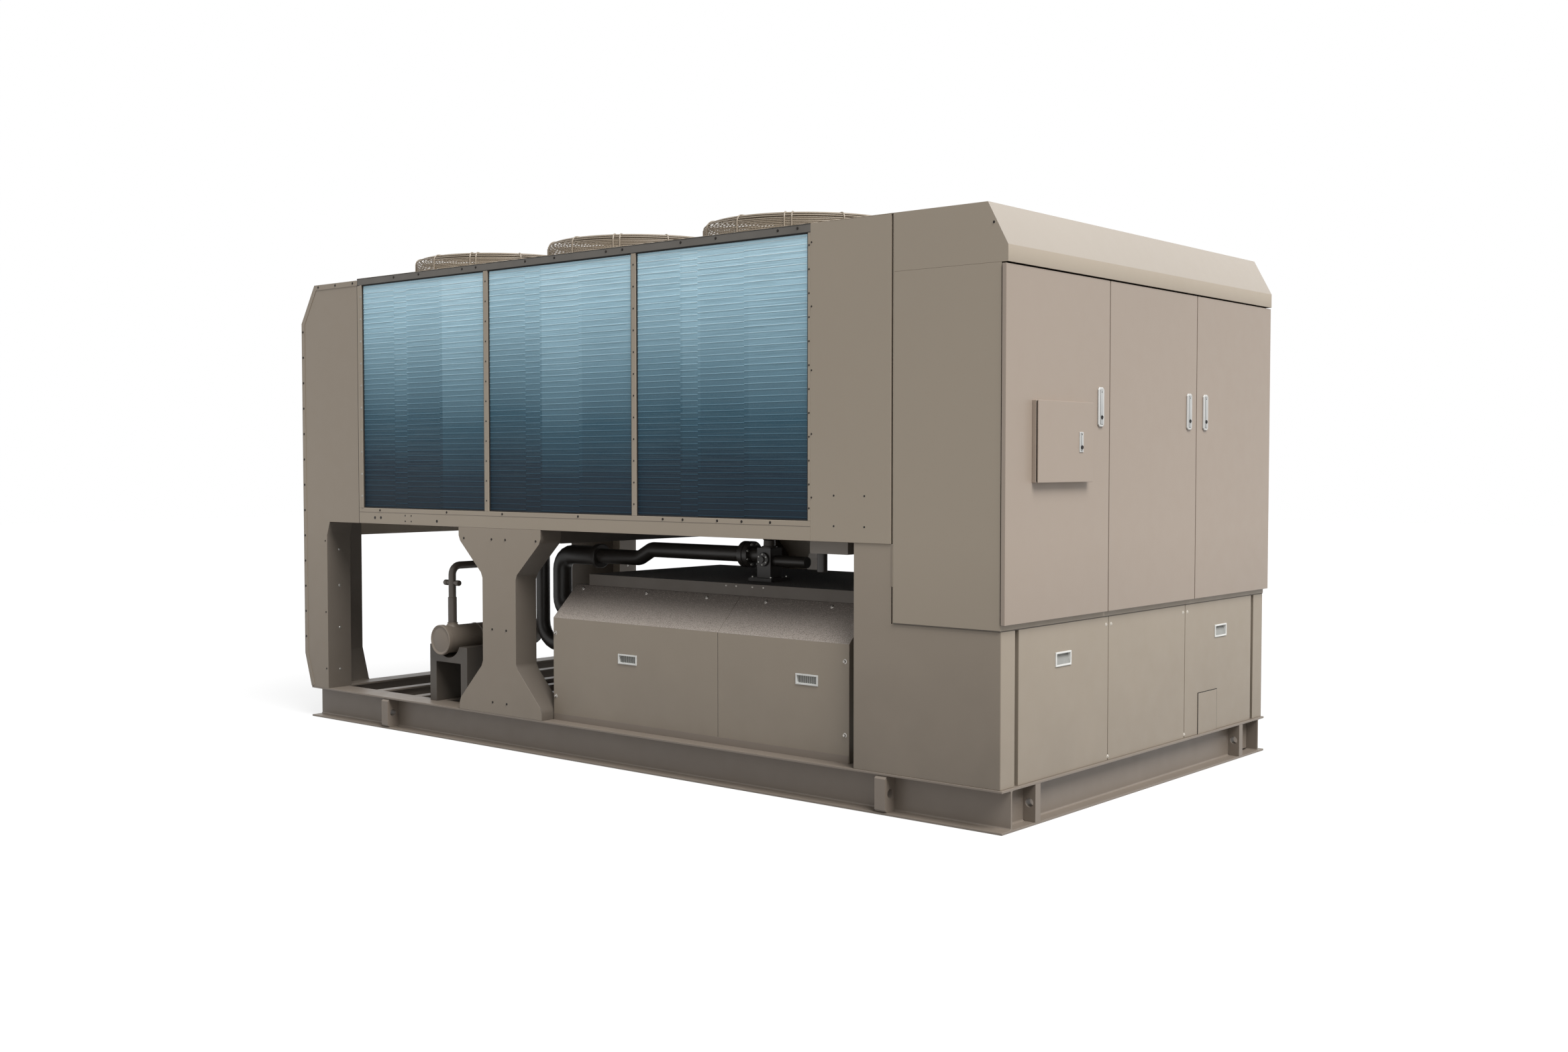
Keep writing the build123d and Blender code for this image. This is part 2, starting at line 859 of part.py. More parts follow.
# Compressor housing: two closed lengths with a sloped shoulder, and an insulated lid
front_low = half_width - housing_front
housing_pull_places = (
    housing_left + housing_pull_insets[0],
    housing_right - housing_pull_insets[1],
)
with BuildPart() as compressor_housing:
    for start, end in (
        (housing_left, housing_seam - seam_gap / 2),
        (housing_seam + seam_gap / 2, housing_right),
    ):
        with BuildSketch(Plane.YZ.offset(start)):
            with BuildLine():
                Polyline(
                    (-front_low, base_height),
                    (-front_low, housing_shoulder),
                    (-front_low + housing_slope_run, housing_slope_top),
                    (housing_rear, housing_slope_top),
                    (housing_rear, base_height),
                    close=True,
                )
            make_face()
        extrude(amount=end - start)
    with BuildSketch(Plane.XZ.offset(front_low)):
        with Locations(*[(place, housing_pull_height) for place in housing_pull_places]):
            Rectangle(*housing_pull_size)
    extrude(amount=-pull_depth, mode=Mode.SUBTRACT)
finish(compressor_housing, "compressor_housing")


def pull_cup(plane, size):
    """A pull recessed in a panel: a cup with a rim that stands a little proud."""
    with BuildSketch(plane) as cup:
        Rectangle(*size)
    extrude(cup.sketch, amount=-pull_depth)
    extrude(cup.sketch, amount=pull_proud)
    with BuildSketch(plane.offset(pull_proud)) as hollow:
        Rectangle(size[0] - 2 * pull_rim, size[1] - 2 * pull_rim)
    extrude(hollow.sketch, amount=skin - pull_depth - pull_proud, mode=Mode.SUBTRACT)


with BuildPart() as panel_pulls:
    for place in end_pull_places:
        pull_cup(Plane.YZ.offset(end_face).move(Location((place, end_pull_height, 0))), end_pull_size)
    for place in housing_pull_places:
        pull_cup(
            Plane.XZ.offset(front_low).move(Location((place, housing_pull_height, 0))),
            housing_pull_size,
        )
finish(panel_pulls, "panel_pulls")

with BuildPart() as compressor_lid:
    block(
        (housing_lid_left, housing_right),
        (-front_low + housing_slope_run, housing_rear),
        (housing_slope_top, housing_top),
    )
finish(compressor_lid, "compressor_lid")

# Vessel across the machine, on a stand of two legs and a lintel with a saddle
vessel_axis = Axis((vessel_x, 0, vessel_z), (0, 1, 0))
with BuildPart() as vessel:
    with BuildSketch(Plane.YZ.offset(vessel_x)):
        with BuildLine():
            Polyline(
                (-vessel_front, vessel_z),
                (-vessel_front, vessel_z + vessel_radius),
                (-vessel_front + skin, vessel_z + vessel_cap_radius),
                (-vessel_front + vessel_cap_t, vessel_z + vessel_cap_radius),
                (-vessel_front + vessel_cap_t, vessel_z + vessel_radius),
                (-vessel_front + vessel_length, vessel_z + vessel_radius),
                (-vessel_front + vessel_length, vessel_z),
                close=True,
            )
        make_face()
    revolve(axis=vessel_axis)
    with BuildSketch(Plane.XY.offset(vessel_z)):
        with Locations((vessel_x, -riser_place)):
            Circle(riser_sleeve_radius)
    extrude(amount=vessel_radius + riser_boss)
finish(vessel, "vessel")

with BuildPart() as vessel_stand:
    with BuildSketch(Plane.XZ.offset(stand_front)):
        with Locations((vessel_x, (base_height + stand_lintel_high) / 2)):
            Rectangle(stand_outer, stand_lintel_high - base_height)
        with Locations((vessel_x, (base_height + stand_lintel_low) / 2)):
            Rectangle(
                stand_outer - 2 * stand_leg,
                stand_lintel_low - base_height,
                mode=Mode.SUBTRACT,
            )
        with Locations((vessel_x, vessel_z)):
            Circle(vessel_cap_radius, mode=Mode.SUBTRACT)
    extrude(amount=-stand_depth)
finish(vessel_stand, "vessel_stand")


def tube(points, bend, radius):
    """A pipe through given points, with each bend made of short straight lengths."""
    with BuildLine(mode=Mode.PRIVATE) as smooth:
        FilletPolyline(*points, radius=bend)
    turns = smooth.edges().filter_by(GeomType.CIRCLE)
    stops = [turn @ (step / bend_steps) for turn in turns for step in range(bend_steps + 1)]
    with BuildLine() as route:
        Polyline(points[0], *stops, points[-1])
    with BuildSketch(route.line ^ 0) as mouth:
        RegularPolygon(radius, pipe_sides)
    sweep(mouth.sketch, path=route.line, transition=Transition.RIGHT)


# Pipework: a riser from the vessel, the discharge down-pipe and the suction pipe with its valve
with BuildPart() as riser_pipe:
    tube(
        (
            (vessel_x, -riser_place, vessel_z + vessel_radius + riser_boss),
            (vessel_x, -riser_place, riser_top),
            (vessel_x, pipe_y, riser_top),
            (discharge_x - discharge_radius, pipe_y, riser_top),
        ),
        riser_bend,
        riser_radius,
    )
    with BuildSketch(Plane.XY.offset(riser_sleeve[0])):
        with Locations((vessel_x, -riser_place)):
            Circle(riser_sleeve_radius)
    extrude(amount=riser_sleeve[1] - riser_sleeve[0])
    with BuildSketch(Plane.YZ.offset(vessel_x)):
        with Locations((-riser_place, riser_tee_height)):
            Circle(riser_tee_radius)
    extrude(amount=riser_tee_length / 2, both=True)
finish(riser_pipe, "riser_pipe")

with BuildPart() as discharge_pipe:
    tube(
        (
            (discharge_x, pipe_y, rail_bottom),
            (discharge_x, pipe_y, discharge_low),
            (housing_left, pipe_y, discharge_low),
        ),
        discharge_bend,
        discharge_radius,
    )
finish(discharge_pipe, "discharge_pipe")

with BuildPart() as suction_pipe:
    tube(
        (
            (housing_left, pipe_y, suction_low),
            (suction_x, pipe_y, suction_low),
            (suction_x, pipe_y, suction_high),
            (clamp_place, pipe_y, suction_high),
        ),
        suction_bend,
        suction_radius,
    )
    with BuildSketch(Plane.YZ.offset(clamp_place)):
        with Locations((pipe_y, suction_high)):
            Circle(clamp_radius)
    extrude(amount=clamp_t)
finish(suction_pipe, "suction_pipe")

run_high = suction_high + run_rise
with BuildPart() as valve_run:
    with BuildLine() as route:
        Polyline(
            (clamp_place + clamp_t, pipe_y, suction_high),
            (run_jog[0], pipe_y, suction_high),
            (run_jog[1], pipe_y, run_high),
            (run_end, pipe_y, run_high),
        )
    with BuildSketch(route.line ^ 0):
        RegularPolygon(run_radius, pipe_sides)
    sweep(transition=Transition.RIGHT)
    with BuildSketch(Plane.YZ.offset(run_end)):
        with Locations((pipe_y, run_high)):
            Circle(valve_flange_radius)
    extrude(amount=valve_flange_t)
finish(valve_run, "valve_run")

body_x = (valve_body_x - valve_body[0] / 2, valve_body_x + valve_body[0] / 2)
with BuildPart() as valve:
    with BuildSketch(Plane.XY.offset(housing_top)):
        with Locations((valve_body_x, pipe_y)):
            Rectangle(valve_base[0], valve_base[0])
    extrude(amount=valve_base[1])
    block(
        body_x,
        (pipe_y - valve_body[0] / 2, pipe_y + valve_body[0] / 2),
        (housing_top + valve_base[1], housing_top + valve_base[1] + valve_body[1]),
    )
    with BuildSketch(Plane.YZ.offset(run_end + valve_flange_t)):
        with Locations((pipe_y, run_high)):
            Circle(run_radius)
    extrude(amount=body_x[0] - run_end - valve_flange_t)
    with BuildSketch(Plane.YZ.offset(body_x[1])):
        with Locations((pipe_y, run_high - actuator_radius)):
            Circle(actuator_radius)
    extrude(amount=actuator_length)
finish(valve, "valve")

hanger_x = coil_end - hanger_end_gap
with BuildPart() as hanging_box:
    block(
        (hanger_x - hanger_size[0] / 2, hanger_x + hanger_size[0] / 2),
        (-hanger_front, -hanger_front + hanger_size[1]),
        (rail_bottom - hanger_size[2], rail_bottom),
    )
    with BuildSketch(Plane.XY.offset(hanger_fitting_low)):
        with Locations((hanger_x - hanger_fitting_offset, -hanger_front + hanger_size[1] / 2)):
            Circle(hanger_fitting_radius)
    extrude(amount=rail_bottom - hanger_size[2] - hanger_fitting_low)
finish(hanging_box, "hanging_box")

# Evaporator: insulated shell with bolted end caps and water nozzles that open to the rear
jacket_ends = (evaporator_ends[0] + evaporator_cap, evaporator_ends[1] - evaporator_cap)
with BuildPart() as evaporator:
    for radius, start, end in (
        (evaporator_radius, jacket_ends[0], jacket_ends[1]),
        (evaporator_flange_radius, jacket_ends[0], jacket_ends[0] + evaporator_flange_t),
        (evaporator_flange_radius, jacket_ends[1] - evaporator_flange_t, jacket_ends[1]),
    ):
        with BuildSketch(Plane.YZ.offset(start)):
            with Locations((evaporator_y, evaporator_z)):
                RegularPolygon(radius, evaporator_sides)
        extrude(amount=end - start)
    for start, reach in ((jacket_ends[0], -evaporator_cap), (jacket_ends[1], evaporator_cap)):
        for radius, along in ((evaporator_radius, 0), (evaporator_cap_radius, reach)):
            with BuildSketch(Plane.YZ.offset(start + along)):
                with Locations((evaporator_y, evaporator_z)):
                    RegularPolygon(radius, evaporator_sides)
        loft(ruled=True)
    nozzle_spots = [(place, evaporator_z) for place in nozzle_places]
    with BuildSketch(Plane.XZ.offset(-evaporator_y)):
        with Locations(*nozzle_spots):
            RegularPolygon(nozzle_radius, pipe_sides)
    extrude(amount=-evaporator_radius - nozzle_reach)
    with BuildSketch(Plane.XZ.offset(-evaporator_y - evaporator_radius)):
        with Locations(*nozzle_spots):
            RegularPolygon(nozzle_bore, pipe_sides)
    extrude(amount=-nozzle_reach, mode=Mode.SUBTRACT)
finish(evaporator, "evaporator")

with BuildPart() as evaporator_cradles:
    for place in cradle_places:
        with BuildSketch(Plane.YZ.offset(place - cradle_t / 2)):
            with Locations((evaporator_y, (base_height + evaporator_z) / 2)):
                Rectangle(cradle_width, evaporator_z - base_height)
            with Locations((evaporator_y, evaporator_z)):
                RegularPolygon(evaporator_radius, evaporator_sides, mode=Mode.SUBTRACT)
        extrude(amount=cradle_t)
finish(evaporator_cradles, "evaporator_cradles")
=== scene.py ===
import json
from math import copysign, cos, pi, radians, sin, tau

import bmesh
import bpy
from mathutils import Matrix, Vector

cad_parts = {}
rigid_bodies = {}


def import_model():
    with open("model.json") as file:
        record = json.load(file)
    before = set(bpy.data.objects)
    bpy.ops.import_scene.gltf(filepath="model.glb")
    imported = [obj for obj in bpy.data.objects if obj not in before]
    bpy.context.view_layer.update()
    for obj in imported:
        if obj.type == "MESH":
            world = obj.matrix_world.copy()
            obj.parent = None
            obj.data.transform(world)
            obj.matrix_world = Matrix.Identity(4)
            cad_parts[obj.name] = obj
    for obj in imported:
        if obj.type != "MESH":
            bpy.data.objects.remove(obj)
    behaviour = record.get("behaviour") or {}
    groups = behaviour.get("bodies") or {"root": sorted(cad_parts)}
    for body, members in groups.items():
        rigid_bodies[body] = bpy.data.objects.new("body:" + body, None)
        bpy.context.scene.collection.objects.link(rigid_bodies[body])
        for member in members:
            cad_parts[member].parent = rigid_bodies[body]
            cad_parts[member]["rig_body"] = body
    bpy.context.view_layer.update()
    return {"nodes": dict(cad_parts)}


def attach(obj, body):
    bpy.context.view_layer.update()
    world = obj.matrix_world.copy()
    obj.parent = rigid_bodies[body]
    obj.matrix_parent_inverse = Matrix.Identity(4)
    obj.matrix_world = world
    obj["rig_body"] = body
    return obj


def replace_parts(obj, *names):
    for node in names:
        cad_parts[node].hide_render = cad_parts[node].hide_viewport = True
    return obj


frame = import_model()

# The camera stands at head height off the corner between the front coils and the cabinet,
# as the photographer stood: a normal lens, level apart from a slight tilt to the ground.
photo_width = 2337
focal_pixels = 2404
camera_place = Vector((5.2315, -6.0094, 1.3349))
camera_azimuth = radians(40.05)
camera_tilt = radians(2.24)


def in_scene(name, data):
    """A new object of the scene."""
    piece = bpy.data.objects.new(name, data)
    bpy.context.scene.collection.objects.link(piece)
    return piece


lens = bpy.data.cameras.new("photo_camera")
lens.sensor_fit = "HORIZONTAL"
lens.sensor_width = 36
lens.lens = focal_pixels / photo_width * lens.sensor_width
lens.clip_end = 200
camera = in_scene("photo_camera", lens)
camera.location = camera_place
camera.rotation_euler = (pi / 2 - camera_tilt, 0, camera_azimuth)
bpy.context.scene.camera = camera
bpy.context.scene.view_settings.view_transform = "Standard"


# Floor and light: a pale studio floor that keeps the shadow, white to the camera beyond it,
# one broad soft lamp from the cabinet's end and even light from all round.
class Wire:
    """A node's socket. Sums, products and differences of wires add their Math nodes."""

    def __init__(self, finish, socket):
        self.finish = finish
        self.socket = socket

    def maths(self, operation, *inputs):
        return self.finish.node("ShaderNodeMath", {"operation": operation}, inputs)

    def __add__(self, other):
        return self.maths("ADD", self, other)

    def __radd__(self, other):
        return self.maths("ADD", other, self)

    def __sub__(self, other):
        return self.maths("SUBTRACT", self, other)

    def __rsub__(self, other):
        return self.maths("SUBTRACT", other, self)

    def __mul__(self, other):
        return self.maths("MULTIPLY", self, other)

    def __rmul__(self, other):
        return self.maths("MULTIPLY", other, self)

    def __truediv__(self, other):
        return self.maths("DIVIDE", self, other)

    def __gt__(self, other):
        return self.maths("GREATER_THAN", self, other)

    def limited(self):
        """The value held between 0 and 1."""
        return self.finish.node("ShaderNodeClamp", {}, [self, 0.0, 1.0])


def linear(colour, factor=1.0):
    """A hexadecimal screen colour in the renderer's linear values, made lighter or darker."""
    parts = [int(colour[at : at + 2], 16) / 255 for at in (0, 2, 4)]
    lights = (
        part / 12.92 if part <= 0.04045 else ((part + 0.055) / 1.055) ** 2.4 for part in parts
    )
    return (*(min(light * factor, 1.0) for light in lights), 1.0)


def add_node(tree, kind, settings, inputs):
    """A node of a tree: its settings come first, then the values or links of its sockets."""
    made = tree.nodes.new(kind)
    for name, value in settings.items():
        if name != "stops":
            setattr(made, name, value)
            continue
        elements = made.color_ramp.elements
        while len(elements) < len(value):
            elements.new(1.0)
        for element, (position, colour) in zip(elements, value):
            element.position = position
            element.color = linear(colour)
    for key, value in inputs.items():
        if isinstance(value, bpy.types.NodeSocket):
            tree.links.new(value, made.inputs[key])
        else:
            made.inputs[key].default_value = value
    return made


class Finish:
    """A material: its Principled shader, and one method that adds any other node."""

    def __init__(self, name, roughness=0.5, metallic=0.0):
        self.material = bpy.data.materials.new(name)
        self.material.use_nodes = True
        self.tree = self.material.node_tree
        self.shader = self.tree.nodes["Principled BSDF"]
        self.shader.inputs["Roughness"].default_value = roughness
        self.shader.inputs["Metallic"].default_value = metallic
        self.place = self.node("ShaderNodeTexCoord", {}, [], "Object")
        self.x, self.y, self.z = (
            self.node("ShaderNodeSeparateXYZ", {}, [self.place], axis) for axis in "XYZ"
        )

    def node(self, kind, settings, inputs, output=0):
        pairs = inputs.items() if isinstance(inputs, dict) else enumerate(inputs)
        sockets = {
            key: value.socket if isinstance(value, Wire) else value for key, value in pairs
        }
        return Wire(self, add_node(self.tree, kind, settings, sockets).outputs[output])

    def noise(self, scale, detail=2.0, stretch=(1.0, 1.0, 1.0)):
        """Noise over the piece, with a number of grains to the metre."""
        at = self.node("ShaderNodeMapping", {}, {"Vector": self.place, "Scale": stretch})
        inputs = {"Vector": at, "Scale": scale, "Detail": detail}
        return self.node("ShaderNodeTexNoise", {}, inputs, "Fac")

    def blend(self, factor, *ends):
        """The first colour where the factor is 0, the second where it is 1."""
        first, second = (linear(end) if isinstance(end, str) else end for end in ends)
        inputs = {0: factor, 6: first, 7: second}
        return self.node("ShaderNodeMix", {"data_type": "RGBA"}, inputs, 2)

    def feed(self, socket, value):
        self.tree.links.new(value.socket, self.shader.inputs[socket])

    def bump(self, height, distance, strength=1.0):
        """Raises the surface by the height, in metres at its full strength."""
        inputs = {"Height": height, "Distance": distance, "Strength": strength}
        self.feed("Normal", self.node("ShaderNodeBump", {}, inputs))


floor_size = 60
floor_colour = (0.25, 0.245, 0.24, 1.0)
floor_seen_colour = (0.93, 0.93, 0.93, 1.0)
floor_own_white = 0.8
world_strength = 0.5
lamp_strength = 3.9
lamp_angle = 35
lamp_from = Vector((0.56, -0.16, 0.81))


def seen_directly(finish):
    """1 for what the camera, a mirror or a clear piece shows, 0 for the light that it gives."""
    camera_ray, glossy_ray, clear_ray = (
        finish.node("ShaderNodeLightPath", {}, [], f"Is {kind} Ray")
        for kind in ("Camera", "Glossy", "Transmission")
    )
    return (camera_ray + glossy_ray + clear_ray).limited()


ground = bpy.data.meshes.new("studio_floor")
edge = floor_size / 2
corners = [(-edge, -edge, 0), (edge, -edge, 0), (edge, edge, 0), (-edge, edge, 0)]
ground.from_pydata(corners, [], [(0, 1, 2, 3)])
floor = in_scene("studio_floor", ground)
floor_finish = Finish("studio_floor", roughness=0.9)
directly = seen_directly(floor_finish)
floor_finish.feed("Base Color", floor_finish.blend(directly, floor_colour, floor_seen_colour))
white = floor_finish.node("ShaderNodeEmission", {}, {"Color": (1, 1, 1, 1), "Strength": 1.0})
lit = Wire(floor_finish, floor_finish.shader.outputs[0])
mixed = floor_finish.node("ShaderNodeMixShader", {}, [directly * floor_own_white, lit, white])
surface = floor_finish.tree.nodes["Material Output"].inputs["Surface"]
floor_finish.tree.links.new(mixed.socket, surface)
ground.materials.append(floor_finish.material)

world = bpy.data.worlds.new("studio_light")
bpy.context.scene.world = world
world.use_nodes = True
sky = Finish.__new__(Finish)  # the world has a node tree but no Principled shader
sky.tree = world.node_tree
even = world.node_tree.nodes["Background"]
even_strength = seen_directly(sky) * (1 - world_strength) + world_strength
sky.tree.links.new(even_strength.socket, even.inputs["Strength"])
even.inputs["Color"].default_value = (1, 1, 1, 1)

lamp_data = bpy.data.lights.new("soft_lamp", "SUN")
lamp_data.energy = lamp_strength
lamp_data.angle = radians(lamp_angle)
lamp = in_scene("soft_lamp", lamp_data)
lamp.rotation_euler = lamp_from.to_track_quat("Z", "Y").to_euler()


# Base frame: rolled steel beams, welded, with thick lifting plates beside the webs. Every
# painted part wears the same fine powder coat, uneven in tone and darkened towards the ground
# by painted shade, and on the beams it is a darker shade than on the sheet.
ground_shade_colour = "4E463D"
ground_shade_height = 1.05
peel_depth = 0.00008


def powder_coat(name, colour, roughness=0.46, ground_shade=0.42):
    """Powder coat over sheet or steel, darkened towards the ground by painted shade."""
    finish = Finish(name)
    shade = finish.blend(finish.noise(0.8, 4.0), linear(colour, 0.95), linear(colour, 1.05))
    shade = finish.blend(finish.noise(900, 1.0) * 0.14, shade, linear(colour, 0.55))
    # Painted shade: below about a metre the colour darkens unevenly towards a dark grey-brown, by
    # each finish's own amount.
    low = (1 - finish.z / ground_shade_height).limited()
    uneven = finish.noise(5, 5.0) * 0.5 + 0.75
    finish.feed("Base Color", finish.blend(low * uneven * ground_shade, shade, ground_shade_colour))
    finish.feed("Roughness", (finish.noise(14, 4.0) - 0.5) * 0.18 + roughness)
    finish.bump(finish.noise(420, 2.0), peel_depth)
    return finish


def plain_mesh(piece):
    """Turns an object with modifiers into one with the mesh that they make."""
    bpy.context.view_layer.update()
    evaluated = piece.evaluated_get(bpy.context.evaluated_depsgraph_get())
    mesh = bpy.data.meshes.new_from_object(evaluated)
    piece.modifiers.clear()
    piece.data = mesh
    return piece


def place_on(piece, body):
    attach(piece, body)
    return piece


def coat(mesh, finish):
    mesh.materials.clear()
    mesh.materials.append(finish.material)


def new_piece(name, mesh, finish):
    coat(mesh, finish)
    return in_scene(name, mesh)


def made_mesh(name, shape):
    """Ends an editable shape as a mesh."""
    mesh = bpy.data.meshes.new(name)
    shape.to_mesh(mesh)
    shape.free()
    return mesh


def cad_mesh(node):
    return frame["nodes"][node].data


def merged_shape(node):
    """A CAD node's mesh to edit, its loose triangles joined at their corners."""
    shape = bmesh.new()
    shape.from_mesh(cad_mesh(node))
    bmesh.ops.remove_doubles(shape, verts=shape.verts, dist=0.00002)
    return shape


def merged_copy(node):
    """A CAD node's mesh with its triangles joined into whole faces."""
    mesh = cad_mesh(node).copy()
    shape = merged_shape(node)
    bmesh.ops.dissolve_limit(
        shape, angle_limit=radians(0.5), verts=shape.verts, edges=shape.edges
    )
    shape.to_mesh(mesh)
    shape.free()
    return mesh


def eased(node, finish, width=0.0014, segments=2, mesh=None):
    """A copy of a CAD node with its folded, sawn or cast edges eased stands for the node."""
    mesh = mesh or merged_copy(node)
    mesh.polygons.foreach_set("use_smooth", [True] * len(mesh.polygons))
    piece = new_piece(f"{node}_eased", mesh, finish)
    bevel = piece.modifiers.new("eased", "BEVEL")
    bevel.width = width
    bevel.segments = segments
    bevel.limit_method = "ANGLE"
    bevel.angle_limit = radians(35)
    piece.modifiers.new("flat_faces", "WEIGHTED_NORMAL").keep_sharp = True
    plain_mesh(piece)
    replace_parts(piece, node)
    return place_on(piece, frame["nodes"][node]["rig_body"])


base_paint = powder_coat("base_paint", "867B70", ground_shade=0.3)
for node in ("side_beams", "end_beams", "cross_beams"):
    eased(node, base_paint, 0.0015)
eased("lifting_lugs", base_paint, 0.004, segments=3)


# Left end: folded corner posts and a sloped hood, in the machine's colour. A folded rim stands
# proud along each outer edge and is screwed through, and the posts' inner returns carry
# painted shade.
# Parts that repeat, such as screws, are one pattern set on the points of a mesh.
class Tree:
    """A Geometry Nodes tree whose sizes are named inputs."""

    def __init__(self, name, sizes):
        self.group = bpy.data.node_groups.new(name, "GeometryNodeTree")
        socket = self.group.interface.new_socket
        socket("Geometry", in_out="INPUT", socket_type="NodeSocketGeometry")
        for size, kind in sizes.items():
            socket(size, in_out="INPUT", socket_type=f"NodeSocket{kind}")
        socket("Finish", in_out="INPUT", socket_type="NodeSocketMaterial")
        socket("Geometry", in_out="OUTPUT", socket_type="NodeSocketGeometry")
        self.entry = self.group.nodes.new("NodeGroupInput").outputs

    def node(self, kind, inputs, settings=None, output=0):
        return add_node(self.group, kind, settings or {}, inputs).outputs[output]

    def attribute(self, name, kind):
        return self.node("GeometryNodeInputNamedAttribute", {"Name": name}, {"data_type": kind})

    def circle(self, facets, radius):
        sizes = {"Resolution": facets, "Radius": radius}
        return self.node("GeometryNodeCurvePrimitiveCircle", sizes)

    def on_points(self, pattern, **placing):
        inputs = {"Points": self.entry["Geometry"], "Instance": pattern, **placing}
        return self.node("GeometryNodeInstanceOnPoints", inputs)

    def close(self, geometry):
        """Ends the tree: instances become real mesh with the finish on it."""
        real = self.node("GeometryNodeRealizeInstances", {"Geometry": geometry})
        painting = {"Geometry": real, "Material": self.entry["Finish"]}
        painted = self.node("GeometryNodeSetMaterial", painting)
        add_node(self.group, "NodeGroupOutput", {}, {"Geometry": painted})

    def make(self, name, mesh, finish, slot, body="chiller", **sizes):
        """Runs the tree on a mesh of points or lines and keeps the result as plain mesh."""
        piece = new_piece(name, mesh, finish)
        runner = piece.modifiers.new(name, "NODES")
        runner.node_group = self.group
        values = {key.title(): value for key, value in sizes.items()}
        values["Finish"] = finish.material
        for item in self.group.interface.items_tree:
            if item.item_type == "SOCKET" and item.in_out == "INPUT" and item.name in values:
                runner[item.identifier] = values[item.name]
        soften(plain_mesh(piece).data)
        return place_on(piece, body)


def soften(mesh):
    """Smooth shading across shallow corners, sharp at real edges."""
    mesh.polygons.foreach_set("use_smooth", [True] * len(mesh.polygons))
    mesh.set_sharp_from_angle(angle=radians(32))


copies_tree = Tree("copies_on_points", {"Pattern": "Object"})
pattern_shape = copies_tree.node(
    "GeometryNodeObjectInfo", {"Object": copies_tree.entry["Pattern"]}, output="Geometry"
)
facing_turn = copies_tree.node(
    "FunctionNodeAlignRotationToVector",
    {"Vector": copies_tree.attribute("facing", "FLOAT_VECTOR")}, {"axis": "Z"},
)
copies_tree.close(copies_tree.on_points(pattern_shape, Rotation=facing_turn))


def point_mesh(name, spots, **values):
    """Loose points, with a named vector or number on each."""
    mesh = bpy.data.meshes.new(name)
    mesh.from_pydata(spots, [], [])
    for key, each in values.items():
        if isinstance(each[0], float):
            mesh.attributes.new(key, "FLOAT", "POINT").data.foreach_set("value", each)
        else:
            field = mesh.attributes.new(key, "FLOAT_VECTOR", "POINT")
            field.data.foreach_set("vector", [part for way in each for part in way])
    return mesh


def copies(name, pattern, spots, facing, finish, slot, body="chiller"):
    """Copies of a pattern mesh. The facing is one direction, or one for each spot."""
    ways = [facing] * len(spots) if isinstance(facing[0], (int, float)) else facing
    points = point_mesh(name, spots, facing=ways)
    source = bpy.data.objects.new(f"{name}_pattern", pattern)
    piece = copies_tree.make(name, points, finish, slot, body, pattern=source)
    bpy.data.objects.remove(source)
    return piece


def turned(profile, segments):
    """A mesh turned round the Z axis from (radius, height) pairs, closed where they meet it."""
    shape = bmesh.new()
    path = [shape.verts.new((radius, 0, height)) for radius, height in profile]
    lines = [shape.edges.new(pair) for pair in zip(path, path[1:])]
    bmesh.ops.spin(
        shape, geom=path + lines, axis=(0, 0, 1), cent=(0, 0, 0), angle=tau,
        steps=segments, use_merge=True,
    )
    bmesh.ops.remove_doubles(shape, verts=shape.verts, dist=0.00001)
    bmesh.ops.recalc_face_normals(shape, faces=shape.faces)
    return made_mesh("turned", shape)


def hexagon_head(radius, height):
    """A flanged hexagon head, its seat at the origin."""
    flange = turned([(0, height * 0.3), (radius * 0.8, height * 0.3), (radius, 0)], 16)
    shape = bmesh.new()
    shape.from_mesh(flange)
    bmesh.ops.create_cone(
        shape, cap_ends=True, segments=6, radius1=radius * 0.66, radius2=radius * 0.6,
        depth=height * 2,
    )
    return made_mesh("hexagon_head", shape)


def prism_mesh(outline, start, end, axis, bevel=0.0):
    """A flat outline made solid between two places along an axis; its points are in order of
    the other two axes."""
    shape = bmesh.new()
    rings = [
        [shape.verts.new((*point[:axis], place, *point[axis:])) for point in outline]
        for place in (start, end)
    ]
    shape.faces.new(rings[0])
    shape.faces.new(reversed(rings[1]))
    for step, corner in enumerate(rings[0]):
        after = (step + 1) % len(outline)
        shape.faces.new((corner, rings[1][step], rings[1][after], rings[0][after]))
    bmesh.ops.recalc_face_normals(shape, faces=shape.faces)
    if bevel:
        bmesh.ops.bevel(
            shape, geom=shape.edges[:], offset=bevel, segments=2, affect="EDGES", profile=0.5
        )
    mesh = made_mesh("prism", shape)
    soften(mesh)
    return mesh


def prism(name, outline, start, end, axis, finish, body="chiller", bevel=0.0):
    """A strip, plate or rib with a flat outline, on its body."""
    piece = new_piece(name, prism_mesh(outline, start, end, axis, bevel), finish)
    place_on(piece, body)


def spread(start, end, count):
    """Evenly spaced numbers from start to end."""
    return [start + (end - start) * step / (count - 1) for step in range(count)]


def box_of(points):
    """The lowest and the highest corner of the box round some points."""
    low = Vector(min(point[axis] for point in points) for axis in range(3))
    high = Vector(max(point[axis] for point in points) for axis in range(3))
    return low, high


def corners_of(node):
    return box_of([vertex.co for vertex in cad_mesh(node).vertices])


def solids_of(node):
    """The box corners of each separate solid of a node, in order along X and then Y."""
    shape = merged_shape(node)
    seen = set()
    boxes = []
    for start in shape.verts:
        if start in seen:
            continue
        reached = [start]
        seen.add(start)
        for vertex in reached:
            for line in vertex.link_edges:
                other = line.other_vert(vertex)
                if other not in seen:
                    seen.add(other)
                    reached.append(other)
        boxes.append(box_of([vertex.co for vertex in reached]))
    shape.free()
    return sorted(boxes, key=lambda box: (round(box[0].x, 2), round(box[0].y, 2)))


